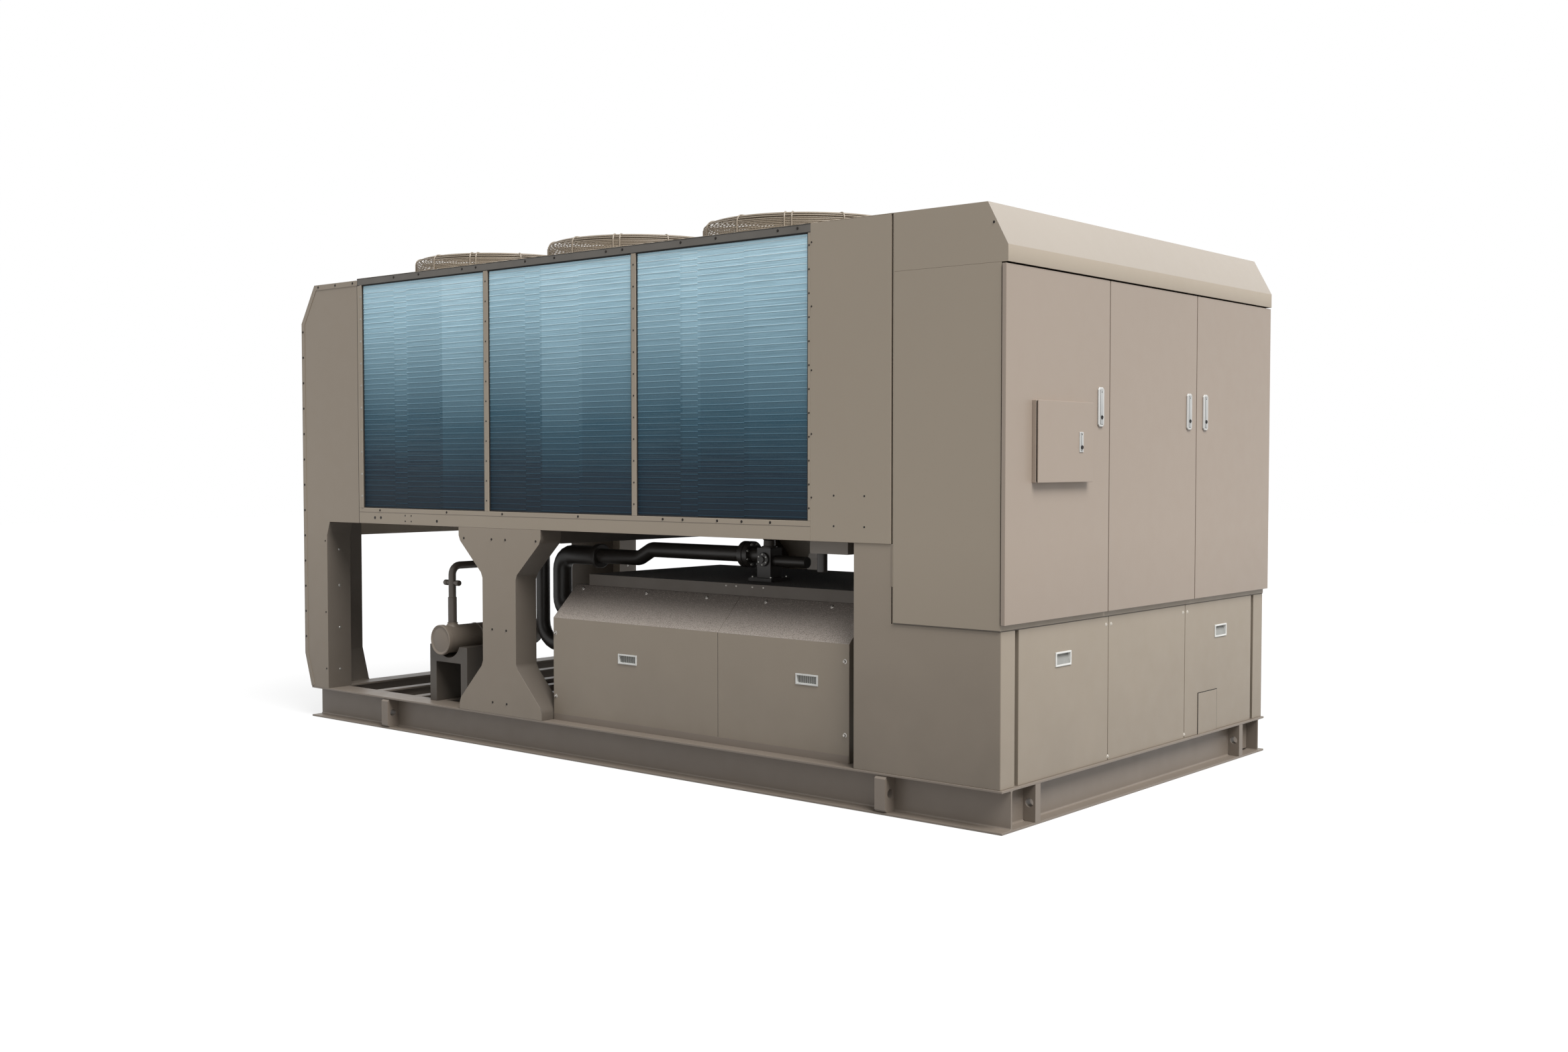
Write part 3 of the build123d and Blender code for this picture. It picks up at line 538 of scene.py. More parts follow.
def two_tone(name, dark, light, grain, roughness, metallic=0.0, detail=2.0):
    """A plain finish that wanders between two close shades."""
    finish = Finish(name, roughness, metallic)
    finish.feed("Base Color", finish.blend(finish.noise(grain, detail), dark, light))
    return finish


front = (0, -1, 0)
rear = (0, 1, 0)
right = (1, 0, 0)
left = (-1, 0, 0)
up = (0, 0, 1)
sides = (-1, 1)

zinc = two_tone("zinc_plate", "8F8E8A", "C2C1BC", 60, 0.42, 1.0)
dark_zinc = two_tone("dark_fastener", "1F1C19", "38332E", 60, 0.5, 0.5)
black_rubber = two_tone("black_rubber", "121110", "1E1C1A", 90, 0.8)
side_face = corners_of("side_beams")[1].y


def side_heads(name, spots, head=(0.0065, 0.003), finish=dark_zinc, face=side_face):
    """Fasteners at (x, z) spots on both long sides: a hexagon head's sizes, or its mesh."""
    pattern = hexagon_head(*head) if isinstance(head, tuple) else head
    places = [(x, side * face, z) for side in sides for x, z in spots]
    ways = [(0, side, 0) for side in sides for _ in spots]
    copies(name, pattern, places, ways, finish, "panel_paint")


def second_finish(piece, finish, chosen):
    """Puts another finish on the faces of a piece that a test chooses."""
    piece.data.materials.append(finish.material)
    for face in piece.data.polygons:
        if chosen(face):
            face.material_index = 1


panel_paint = powder_coat("panel_paint", "A09484")
# Painted shade: a dark coat for faces that stand in shade inside the machine, such as inner
# faces, undersides and reveals.
inner_shade_paint = powder_coat("inner_shade_paint", "4A433B", roughness=0.6)
left_paint = powder_coat("left_paint", "968A7B")
painted_shade = powder_coat("painted_shade", "675F56", roughness=0.55, ground_shade=0.5)
left_posts = eased("left_posts", left_paint)
for node in ("left_hood", "left_end_panel"):
    eased(node, left_paint)
inner_face = -1.75
leg_top = 1.04
# Painted shade: the posts' inner returns and the undersides below the leg tops get a darker coat.
second_finish(
    left_posts, painted_shade,
    lambda face: (face.normal.x > 0.5 and face.center.x < inner_face)
    or (face.normal.z < -0.5 and 0.5 < face.center.z < leg_top),
)
slope_run = 0.119
slope_drop = 0.193
foot_inset = 0.056
foot_rise = 0.172
rim_width = 0.026
rim_proud = 0.0022
screw_inset = 0.012
post_low, post_high = solids_of("left_posts")[0]
hood_top = corners_of("left_hood")[1].z
rim_path = [
    (post_low.x + foot_inset, post_low.z),
    (post_low.x, post_low.z + foot_rise),
    (post_low.x, hood_top - slope_drop),
    (post_low.x + slope_run, hood_top),
    (post_high.x, hood_top),
]


def inward(path, distance):
    """An open path moved to its right by a distance, with its corners mitred."""
    moved = []
    for step, point in enumerate(path):
        ways = []
        for first, second in ((step - 1, step), (step, step + 1)):
            if 0 <= first and second < len(path):
                ways.append((Vector(path[second]) - Vector(path[first])).normalized())
        normals = [Vector((way.y, -way.x)) for way in ways]
        middle = sum(normals, Vector((0, 0))).normalized()
        moved.append(tuple(Vector(point) + middle * (distance / middle.dot(normals[0]))))
    return moved


rim_outline = rim_path + inward(rim_path, rim_width)[::-1]
for side in sides:
    outer = side * side_face
    rim_end = outer + side * rim_proud
    prism(f"post_rim_{side}", rim_outline, outer, rim_end, 1, left_paint)
edge_line = inward(rim_path, screw_inset)
rim_screws = [(edge_line[1][0], z) for z in spread(0.42, 2.02, 13)]
rim_screws += [(x, edge_line[-1][1]) for x in spread(-2.03, -1.73, 3)]
side_heads("rim_screws", rim_screws, face=side_face + rim_proud)
leg_edge = -1.994
leg_screws = [(leg_edge, z) for z in (0.262, 0.558, 0.93)]
side_heads("leg_screws", leg_screws, (0.005, 0.0025))
leg_face = leg_edge + 0.016
leg_return = 1.052
return_heights = (0.254, 0.474, 0.695, 0.883)
return_spots = [(leg_face, side * leg_return, z) for side in sides for z in return_heights]
copies("return_screws", hexagon_head(0.006, 0.003), return_spots, right, zinc, "panel_paint")


# Coil walls: folded rails and uprights frame the coils on both sides, with a bare zinc strip
# along the top. Black foam seals each coil against its frame.
def rectangle(low, high):
    return [(low[0], low[1]), (high[0], low[1]), (high[0], high[1]), (low[0], high[1])]


def side_strips(name, low, high, finish, proud, face=side_face, depth=0.003):
    """A strip on both long sides, from one (x, z) to another, proud of a face."""
    for side in sides:
        start, end = side * (face - depth), side * (face + proud)
        prism(f"{name}_{side}", rectangle(low, high), start, end, 1, finish)


def side_line(name, start, end, half_width, finish, proud=0.0005):
    """A thin upright or level line on both long sides, such as a seam."""
    x_half, z_half = (half_width, 0) if start[0] == end[0] else (0, half_width)
    low = (start[0] - x_half, start[1] - z_half)
    side_strips(name, low, (end[0] + x_half, end[1] + z_half), finish, proud)


def seal_round(name, low, high, inset, width, start, end, axis=0, body="chiller"):
    """Four strips of black rubber inside the outline of a box, seen along an axis."""
    across = 1 - axis
    near, bottom = low[across] + inset, low.z + inset
    far, top = high[across] - inset, high.z - inset
    strips = (
        ((near, bottom), (far, bottom + width)),
        ((near, top - width), (far, top)),
        ((near, bottom + width), (near + width, top - width)),
        ((far - width, bottom + width), (far, top - width)),
    )
    for number, ends in enumerate(strips):
        strip = f"{name}_{number}"
        prism(strip, rectangle(*ends), start, end, axis, black_rubber, body)


for node in ("coil_uprights", "blank_panels", "deck_end_panel"):
    eased(node, panel_paint)
rails = eased("coil_rails", panel_paint)
rail_low, rail_high = corners_of("coil_rails")
rail_inside = 1.04
# Painted shade: the rails' undersides and inward faces get the dark coat.
second_finish(
    rails, inner_shade_paint, lambda face: face.normal.z < -0.5 or abs(face.center.y) < rail_inside
)
supports = eased("supports", left_paint)
# Painted shade: the supports' faces turned towards the cabinet end get a darker coat.
second_finish(supports, painted_shade, lambda face: face.normal.x > 0.3)
bare_strip = two_tone("bare_strip", "5C5853", "6E6A64", 9, 0.5, 0.3, 4.0)
eased("coil_heads", bare_strip, 0.001)
# Painted shade: the plenum floor and tie beam inside the coil box get the dark coat.
for node in ("plenum_floor", "tie_beam"):
    coat(cad_mesh(node), inner_shade_paint)
seal_width = 0.005
seal_proud = 0.004
coil_boxes = solids_of("coils")
for number, (low, high) in enumerate(coil_boxes):
    start = low.y if low.y < 0 else high.y
    end = start + copysign(seal_proud, start)
    seal_round(f"coil_seal_{number}", low, high, 0.0, seal_width, start, end, axis=1)
upright_boxes = [box for box in solids_of("coil_uprights") if box[0].y < 0]
first_low, first_high = upright_boxes[0]
seam_end = (first_low.x, first_high.z)
side_line("post_seam", (first_low.x, rail_low.z), seam_end, 0.001, black_rubber)
fold_width = 0.013
fold_proud = 0.002
fold_low = (first_high.x - fold_width, first_low.z)
side_strips("upright_fold", fold_low, (first_high.x, first_high.z), panel_paint, fold_proud)
fold_heights = spread(first_low.z + 0.06, first_high.z - 0.06, 10)
fold_screws = [(first_high.x - fold_width / 2, z) for z in fold_heights]
side_heads("fold_screws", fold_screws, (0.0055, 0.003), zinc, side_face + fold_proud)
upright_screws = []
for low, high in upright_boxes[1:]:
    heights = spread(low.z + 0.05, high.z - 0.05, 12)
    upright_screws += [((low.x + high.x) / 2, z) for z in heights]
side_heads("upright_screws", upright_screws, (0.0042, 0.002))
strip_low, strip_high = corners_of("coil_heads")
for part, z in (("lower", strip_low.z), ("upper", strip_high.z)):
    name = f"strip_line_{part}"
    side_line(name, (strip_low.x, z), (strip_high.x, z), 0.0012, black_rubber, 0.0006)
screw_level = (strip_low.z + strip_high.z) / 2 + 0.004
bay_screws = (0.266, 0.463, 0.795, 0.896)
strip_screws = [(low.x + run, screw_level) for low, _ in coil_boxes[::2] for run in bay_screws]
side_heads("strip_screws", strip_screws)
ledge_height = 0.021
ledge_line = rail_high.z - ledge_height
ledge_end = (rail_high.x, ledge_line)
# Painted shade: a thin dark line along the foot of the ledge.
side_line("ledge_line", (rail_low.x, ledge_line), ledge_end, 0.0008, painted_shade)
ledge_places = (-1.52, -0.991, -0.583, -0.068, 0.456, 0.572, 0.767, 0.901, 1.053)
ledge_screws = [(x, ledge_line + ledge_height / 2) for x in ledge_places]
side_heads("ledge_screws", ledge_screws, (0.006, 0.003))
rail_holes = [(-1.562, 1.060), (-1.513, 1.061), (-1.066, 1.053)]
plug = turned([(0, 0.0006), (0.007, 0.0006), (0.0075, 0)], 16)
side_heads("rail_holes", rail_holes, plug, black_rubber)
rivet_holes = [(x, z) for x in (-1.315, -1.267) for z in (1.047, 1.075)]
rivet_holes += [(x, z) for x in (1.376, 1.524) for z in (1.091, 1.209)]
small_plug = turned([(0, 0.0006), (0.0038, 0.0006), (0.0042, 0)], 12)
side_heads("rivet_holes", rivet_holes, small_plug, black_rubber)
blank_edge_screws = [(rail_high.x + 0.006, z) for z in spread(1.2, 2.19, 5)]
side_heads("blank_edge_screws", blank_edge_screws, (0.004, 0.0025))
blank_low, blank_high = corners_of("blank_panels")
cabinet_start = corners_of("cabinet_back")[0].x
gap_low = (blank_high.x - 0.002, blank_low.z)
gap_high = (cabinet_start + 0.001, blank_high.z)
gap_face = side_face - 0.012
side_strips("cabinet_gap_seal", gap_low, gap_high, black_rubber, 0, gap_face, 0.02)
support_screws = [(x, 0.978) for x in (-0.863, -0.661, -0.563, -0.351)]
support_screws += [(x, z) for x in (-0.66, -0.56) for z in (0.213, 0.556)]
side_heads("support_screws", support_screws, (0.006, 0.003))

# Coils: copper tubes in rows one inch apart through thin coated fins. The blue coat carries a
# painted sky reflection, pale blue at the top and deep blue at the bottom, in packs of slightly
# varied shade, and the tube rows a lighter painted highlight.
row_pitch = 0.0254
tube_height = 0.0034
tube_proud = 0.0014
lowest_row = 0.004
pack_gap = 0.001
fin_waves = 3000.0
fin_depth = 0.0003
coil_low = coil_boxes[0][0].z
coil_high = coil_boxes[0][1].z
bay_start = coil_boxes[0][0].x
bay_pitch = coil_boxes[2][0].x - bay_start
bays_before = 4.0
bay_seed = 7.3
packs = ((0.0, 0.27, 0.0), (0.27, 0.375, 0.45), (0.375, 0.645, 0.15), (0.645, 1.0, 0.0))
shade_stops = (0.0, 0.18, 0.38, 0.56, 0.82, 1.0)
fin_reflection_colours = ("0F202C", "162B3A", "345869", "6F93A4", "B0D7E8", "CCF0FF")
tube_highlight_colours = ("223B4A", "2F4E5F", "5B8093", "93B6C5", "CBE6F0", "E0F3FA")


def coil_reflection_blue(name, shades, streak):
    """The fins' colour by height, a painted sky reflection, with packs of fins and fine streaks
    along the rows.
    """
    finish = Finish(name, roughness=0.5, metallic=0.1)
    finish.shader.inputs["Specular IOR Level"].default_value = 0.2
    share = (finish.z - coil_low) / (coil_high - coil_low)
    bays = (finish.x - bay_start) / bay_pitch + bays_before
    pack = bays.maths("FLOOR", bays) * bay_seed
    for _, end, _ in packs:
        pack = pack + (bays.maths("FRACT", bays) > end)
    pack_shade = finish.node(
        "ShaderNodeTexWhiteNoise", {"noise_dimensions": "1D"}, {"W": pack}, "Value"
    )
    uneven = (finish.noise(1.3, 2.0) - 0.5) * 0.12 + (pack_shade - 0.5) * 0.1
    stops = list(zip(shade_stops, shades))
    # Painted sky reflection: the ramp runs from deep blue at the bottom to pale blue at the top.
    blue = finish.node("ShaderNodeValToRGB", {"stops": stops}, [share + uneven])
    height = share.limited()
    streaks = (finish.noise(1.0, 3.0, (3.0, 3.0, 380.0)) > 0.52) * streak
    # Streaks take a colour that is lighter towards the top, part of the painted reflection.
    blue = finish.blend(streaks, blue, finish.blend(height, "12222F", "7A9FAF"))
    # Pale specks, stronger towards the top: painted glints.
    grains = (finish.noise(420, 1.0) > 0.6) * height * 0.2
    finish.feed("Base Color", finish.blend(grains, blue, "C4DCE6"))
    finish.bump(share.maths("SINE", finish.x * fin_waves), fin_depth, 0.5)
    return finish


# Painted highlight: the tube rows take lighter colours than the fins, as their rounded tops catch
# the light.
tube_highlight_blue = coil_reflection_blue("coil_tube_highlight", tube_highlight_colours, 0.1)
coat(cad_mesh("coils"), coil_reflection_blue("coil_fin_reflection", fin_reflection_colours, 0.35))
rows_tree = Tree("coil_rows", {"Thickness": "Float", "Depth": "Float"})
bar = rows_tree.node("GeometryNodeMeshCylinder", {"Vertices": 8, "Radius": 0.5, "Depth": 1.0})
bar_turn = {"Geometry": bar, "Rotation": (0, pi / 2, 0)}
bar = rows_tree.node("GeometryNodeTransform", bar_turn)
bar_sizes = {
    "X": rows_tree.attribute("length", "FLOAT"),
    "Y": rows_tree.entry["Depth"],
    "Z": rows_tree.entry["Thickness"],
}
bar_scale = rows_tree.node("ShaderNodeCombineXYZ", bar_sizes)
rows_tree.close(rows_tree.on_points(bar, Scale=bar_scale))
row_count = int((coil_high - coil_low) / row_pitch)
tube_spots = []
tube_lengths = []
for low, high in coil_boxes:
    coil_face = low.y if low.y < 0 else high.y
    coil_length = high.x - low.x
    for start, end, shift in packs:
        middle = low.x + coil_length * (start + end) / 2
        for row in range(row_count):
            level = coil_low + row_pitch * (row + 0.5 - shift)
            tube_spots.append((middle, coil_face, max(level, coil_low + lowest_row)))
            tube_lengths.append(coil_length * (end - start) - pack_gap)
rows_tree.make(
    "coil_tubes", point_mesh("coil_tubes", tube_spots, length=tube_lengths), tube_highlight_blue,
    "coil_fins", thickness=tube_height, depth=tube_proud * 2,
)

# Fan deck: one sheet for each pair of fans. A rolled rim is drawn round every bore and the
# sheets are screwed down along their seams.
guards = solids_of("fan_guards")
fan_places = [((low.x + high.x) / 2, (low.y + high.y) / 2) for low, high in guards]
deck_top = guards[0][0].z
deck_screws = []
for part in ("left", "middle", "right"):
    node = f"fan_panels_{part}"
    eased(node, panel_paint, 0.0008)
    low, high = corners_of(node)
    for x in (low.x + 0.02, high.x - 0.02):
        deck_screws += [(x, y, deck_top) for y in spread(low.y + 0.03, high.y - 0.03, 16)]
bore_radius = 0.4103
rim_roll = 0.009
rim_profile = [(bore_radius - 0.003, -0.004)]
rim_profile += [
    (bore_radius + rim_roll - rim_roll * cos(angle), rim_roll * 0.8 * sin(angle))
    for angle in spread(0, pi, 7)
]


def on_fans(name, pattern, level, finish, slot):
    """A copy of the pattern on every fan's axis, at a level."""
    return copies(name, pattern, [(x, y, level) for x, y in fan_places], up, finish, slot)


on_fans("bore_rims", turned(rim_profile, 72), deck_top, panel_paint, "panel_paint")
copies("deck_screws", hexagon_head(0.0065, 0.003), deck_screws, up, dark_zinc, "panel_paint")

# Fan guards: rings of drawn steel wire welded to pairs of strap wires that rise from tabs on
# the deck, turn over a shoulder and run in to a hub plate. Each guard is coated whole.
ring_wire = 0.0027
strap_wire = 0.0033
side_rings = 8
top_ring_pitch = 0.0135
shoulder = 0.03
shoulder_rings = (25, 50, 75)
strap_places = 12
pair_every = 3
strap_gap = 0.03
hub_plate = 0.11
tab_size = Vector((0.034, 0.05, 0.003))
guard_paint = powder_coat("guard_paint", "948878", roughness=0.4, ground_shade=0.0)

wires_tree = Tree("bent_wires", {"Wire": "Float", "Bend": "Float", "Facets": "Int"})
path = wires_tree.node("GeometryNodeMeshToCurve", {"Mesh": wires_tree.entry["Geometry"]})
bends = {"Curve": path, "Count": 6, "Radius": wires_tree.entry["Bend"], "Limit Radius": True}
path = wires_tree.node("GeometryNodeFilletCurve", bends, {"mode": "POLY"})
section = wires_tree.circle(wires_tree.entry["Facets"], wires_tree.entry["Wire"])
swept = {"Curve": path, "Profile Curve": section, "Fill Caps": True}
wires_tree.close(wires_tree.node("GeometryNodeCurveToMesh", swept))


def wires(name, paths, finish, slot, wire, bend, facets=6):
    """Wires, rods or pipes along lists of points, with rounded bends."""
    points = []
    lines = []
    for each in paths:
        lines += [(len(points) + step, len(points) + step + 1) for step in range(len(each) - 1)]
        points += each
    mesh = bpy.data.meshes.new(name)
    mesh.from_pydata(points, lines, [])
    return wires_tree.make(name, mesh, finish, slot, wire=wire, bend=bend, facets=facets)


def ring_of(centre, radius, count, axis, first=0.0):
    """Spots evenly round an axis through the centre."""
    spots = []
    for turn in spread(first, first + tau * (count - 1) / count, count):
        around = [radius * cos(turn), radius * sin(turn)]
        around.insert(axis, 0.0)
        spots.append(Vector(centre) + Vector(around))
    return spots


rings_tree = Tree("guard_rings", {"Wire": "Float", "Facets": "Int"})
ring = rings_tree.circle(rings_tree.entry["Facets"], 1.0)
ring = rings_tree.on_points(ring, Scale=rings_tree.attribute("ring", "FLOAT"))
ring = rings_tree.node("GeometryNodeRealizeInstances", {"Geometry": ring})
swept = {"Curve": ring, "Profile Curve": rings_tree.circle(5, rings_tree.entry["Wire"])}
rings_tree.close(rings_tree.node("GeometryNodeCurveToMesh", swept))

guard_top = guards[0][1].z
guard_radius = (guards[0][1].x - guards[0][0].x) / 2 - 0.003
side_top = guard_top - shoulder
strap_top = guard_top - strap_wire
rings_inside = guard_radius - strap_wire
ring_rows = [(level, rings_inside) for level in spread(deck_top + 0.006, side_top, side_rings)]
for turn in shoulder_rings:
    angle = radians(turn)
    level = side_top + (shoulder - 2 * strap_wire) * sin(angle)
    ring_rows.append((level, rings_inside - shoulder * (1 - cos(angle))))
for step in range(int((guard_radius - shoulder - hub_plate) / top_ring_pitch)):
    reach = guard_radius - shoulder - top_ring_pitch * step
    ring_rows.append((guard_top - 2 * strap_wire, reach))
ring_reaches = [float(reach) for _, reach in ring_rows]
strap_turns = [
    Matrix.Rotation(tau * place / strap_places, 3, "Z") for place in range(strap_places)
]
pair_turns = strap_turns[1::pair_every]
bends = ((guard_radius, deck_top), (guard_radius, strap_top), (hub_plate * 0.9, strap_top))
tab_reach = guard_radius + 0.006
tab_spots = []
tab_screws = []
plate_bolts = []
for number, (x, y) in enumerate(fan_places):
    name = f"guard_rings_{number}"
    points = point_mesh(name, [(x, y, level) for level, _ in ring_rows], ring=ring_reaches)
    rings_tree.make(name, points, guard_paint, "fan_wire", wire=ring_wire, facets=72)
    centre = Vector((x, y, 0))
    strap_paths = []
    for turn in strap_turns:
        for offset in (-strap_gap / 2, strap_gap / 2) if turn in pair_turns else (0.0,):
            strap_paths.append([turn @ Vector((reach, offset, z)) + centre for reach, z in bends])
        tab_spots.append(turn @ Vector((tab_reach, 0, deck_top)) + centre)
        screw = Vector((tab_reach + 0.008, 0, deck_top + tab_size.z))
        tab_screws.append(turn @ screw + centre)
    name = f"guard_straps_{number}"
    straps = wires(name, strap_paths, guard_paint, "fan_wire", strap_wire, shoulder)
    plate_bolts += ring_of((x, y, guard_top), hub_plate * 0.62, 4, 2, 0.4)
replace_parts(straps, "fan_guards")
plate_profile = [(0, 0), (hub_plate * 0.5, 0), (hub_plate * 0.97, -0.0015), (hub_plate, -0.005)]
on_fans("hub_plates", turned(plate_profile, 48), guard_top, guard_paint, "fan_wire")
tab = prism_mesh(rectangle(-tab_size / 2, tab_size / 2), 0.0, tab_size.z, 2)
copies("guard_tabs", tab, tab_spots, up, guard_paint, "fan_wire")
copies("tab_screws", hexagon_head(0.007, 0.004), tab_screws, up, zinc, "panel_paint")
copies("plate_bolts", hexagon_head(0.008, 0.005), plate_bolts, up, zinc, "fan_wire")

# Fan rotors: moulded black blades, swept like a sickle and twisted, on a ribbed hub under a
# cast motor that hangs from the guard's hub plate.
rotor_black = two_tone("rotor_black", "191919", "292827", 6, 0.45)
rotor_black.bump(rotor_black.noise(300), 0.0001)
rotor_low, rotor_high = solids_of("fan_rotors")[0]
rotor_middle = (rotor_low.z + rotor_high.z) / 2
blade_count = 5
hub_radius = 0.098
blade_root = hub_radius * 0.9
tip_radius = 0.392
blade_sheet = 0.004
root_chord = 0.13
chord_swell = 0.11
tip_sweep = 0.30
root_sweep = 0.10
root_pitch = 34
pitch_loss = 15
blade_camber = 0.016
reach_steps = 9
chord_steps = 7


def blade_point(along, across):
    """A place on the blade: along from hub to tip, across from the leading edge."""
    radius = blade_root + (tip_radius - blade_root) * along
    chord = root_chord + chord_swell * sin(pi * min(along * 0.75 + 0.1, 1.0))
    sweep = tip_sweep * along**1.6 - root_sweep * along
    pitch = radians(root_pitch - pitch_loss * along)
    run = (across - 0.5) * chord
    camber = blade_camber * (1 - (2 * across - 1) ** 2)
    turn = sweep + run * cos(pitch) / radius
    rise = run * sin(pitch) + camber
    return Vector((radius * cos(turn), radius * sin(turn), rise))


blades = bmesh.new()
chord_shares = spread(0, 1, chord_steps)
for number in range(blade_count):
    spin = Matrix.Rotation(tau * number / blade_count, 3, "Z")
    grid = [
        [blades.verts.new(spin @ blade_point(along, across)) for across in chord_shares]
        for along in spread(0, 1, reach_steps)
    ]
    for row, after in zip(grid, grid[1:]):
        for step in range(chord_steps - 1):
            blades.faces.new((row[step], row[step + 1], after[step + 1], after[step]))
bmesh.ops.solidify(blades, geom=blades.faces[:], thickness=blade_sheet)
hub_profile = [(0, 0.040), (hub_radius * 0.8, 0.040), (hub_radius, 0.030), (hub_radius, -0.042)]
hub_profile += [(hub_radius * 0.9, -0.045), (hub_radius * 0.35, -0.030), (0, -0.030)]
blades.from_mesh(turned(hub_profile, 40))
bmesh.ops.recalc_face_normals(blades, faces=blades.faces)
rotor = made_mesh("rotor", blades)
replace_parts(on_fans("rotors", rotor, rotor_middle, rotor_black, "fan_plastic"), "fan_rotors")

motor_grey = two_tone("motor_grey", "3C3B39", "504E4A", 8, 0.55, 0.3)
motor_grey.bump(motor_grey.noise(260), 0.0003)
motor_low, motor_high = solids_of("fan_motors")[0]
radius = (motor_high.x - motor_low.x) / 2
height = motor_high.z - motor_low.z
fin_count = 9
motor_profile = [(0, height), (radius * 0.6, height)]
motor_profile += [(radius * 0.6, height * 0.86), (radius * 0.82, height * 0.8)]
for step in range(fin_count):
    level = height * (0.76 - 0.6 * step / fin_count)
    motor_profile += [(radius, level), (radius, level - 0.003)]
    motor_profile += [(radius * 0.88, level - 0.004), (radius * 0.88, level - 0.0065)]
motor_profile += [(radius * 0.82, 0.006), (radius * 0.7, 0), (0, 0)]
motors = on_fans("motors", turned(motor_profile, 28), motor_low.z, motor_grey, "motor_metal")
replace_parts(motors, "fan_motors")

# Control cabinet: a folded shell and a sloped hood over three flush doors on hidden hinges.
# Inside it is a bare galvanised plate behind each door, and a foam gasket runs round each door.
hood = eased("cabinet_hood", panel_paint)
# Painted light: the hood's upward-facing slope gets a lighter coat, as lit from above.
slope_highlight_paint = powder_coat("slope_highlight_paint", "AAA196")
second_finish(hood, slope_highlight_paint, lambda face: face.normal.z > 0.1)
for node in ("cabinet_sides", "cabinet_back"):
    eased(node, panel_paint)
# Painted shade: the cabinet's floor and uprights behind the doors get the dark coat.
for node in ("cabinet_floor", "cabinet_uprights"):
    coat(cad_mesh(node), inner_shade_paint)
galvanised = two_tone("galvanised_sheet", "8A8C8B", "B4B6B4", 22, 0.45, 0.8, 4.0)
coat(cad_mesh("mounting_plates"), galvanised)
hood_screw_place = (2.098, 2.189)
side_heads("hood_screw", [hood_screw_place], (0.005, 0.003))
floor_low, floor_high = corners_of("cabinet_floor")
sill_height = 0.02
sill_low = (floor_low.y + 0.001, floor_high.z)
sill_outline = rectangle(sill_low, (floor_high.y - 0.001, floor_high.z + sill_height))
sill_back, sill_front = floor_high.x - 0.006, floor_high.x + 0.002
prism("door_sill", sill_outline, sill_back, sill_front, 0, panel_paint)
door_names = ("left", "middle", "right")
gasket_width = 0.014
gasket_depth = 0.006
gasket_inset = 0.012
gasket_place = 0.009
door_paint = powder_coat("door_paint", "9F9184", roughness=0.44)
for name in door_names:
    door = f"door_{name}"
    eased(door, door_paint, 0.0016)
    low, high = corners_of(door)
    start = low.x + gasket_place
    end = start + gasket_depth
    seal = f"{door}_gasket"
    seal_round(seal, low, high, gasket_inset, gasket_width, start, end, body=door)

# Swing handles: pale moulded pans that lie almost flat on the doors, with a lever set into the
# face, a small cover dot at the top and a black key cylinder low down. The small door has a
# short one of the same make.
handle_grey = two_tone("handle_grey", "BDBDBA", "CACAC7", 30, 0.36)
lever_grey = two_tone("lever_grey", "A9AAA9", "B6B7B5", 30, 0.3, 0.25)
lever_share = (0.46, 0.86)
pan_depth = 0.007
gap_proud = 0.0003
lever_gap = Vector((0.0012, 0.0012))
lever_proud = 0.0016
cover_dot = turned([(0, 0.0008), (0.0022, 0.0008), (0.0028, 0)], 16)
key_profile = [(0, 0.0015), (0.004, 0.0015), (0.0045, 0.0025), (0.0072, 0.0025), (0.008, 0)]
key_cylinder = turned(key_profile, 24)
handle_bodies = {f"handle_{name}": f"door_{name}" for name in door_names}
handle_bodies["controller_handle"] = "controller_door"
for handle, body in handle_bodies.items():
    is_small = handle == "controller_handle"
    low, high = corners_of(handle)
    pan = merged_copy(handle)
    if not is_small:
        for vertex in pan.vertices:
            vertex.co.x = low.x + (vertex.co.x - low.x) * pan_depth / (high.x - low.x)
        high.x = low.x + pan_depth
    eased(handle, handle_grey, 0.001 if is_small else 0.002, segments=3, mesh=pan)
    middle = (low + high).yz / 2
    half = (high - low).yz / 2 * Vector(lever_share)
    slot = "handle_plastic"
    start, end = high.x - 0.002, high.x + gap_proud
    gap_outline = rectangle(middle - half - lever_gap, middle + half + lever_gap)
    prism(f"{handle}_gap", gap_outline, start, end, 0, black_rubber, body)
    end = high.x + lever_proud
    lever_outline = rectangle(middle - half, middle + half)
    prism(f"{handle}_lever", lever_outline, start, end, 0, lever_grey, body, 0.0008)
    for kind, pattern, share in (("dot", cover_dot, 0.88), ("key", key_cylinder, 0.24)):
        spots = [(end, middle.x, low.z + (high.z - low.z) * share)]
        copies(f"{handle}_{kind}", pattern, spots, right, black_rubber, slot, body)

# Small door: a shallow case on the left cabinet door, closed by a flat door on a black seal.
eased("controller_case", door_paint)
eased("controller_door", door_paint)
case_low, case_high = corners_of("controller_case")
small_door = "controller_door"
end = corners_of(small_door)[0].x
start = end - 0.0045
seal_round("controller_seal", case_low, case_high, 0.004, 0.01, start, end, body=small_door)

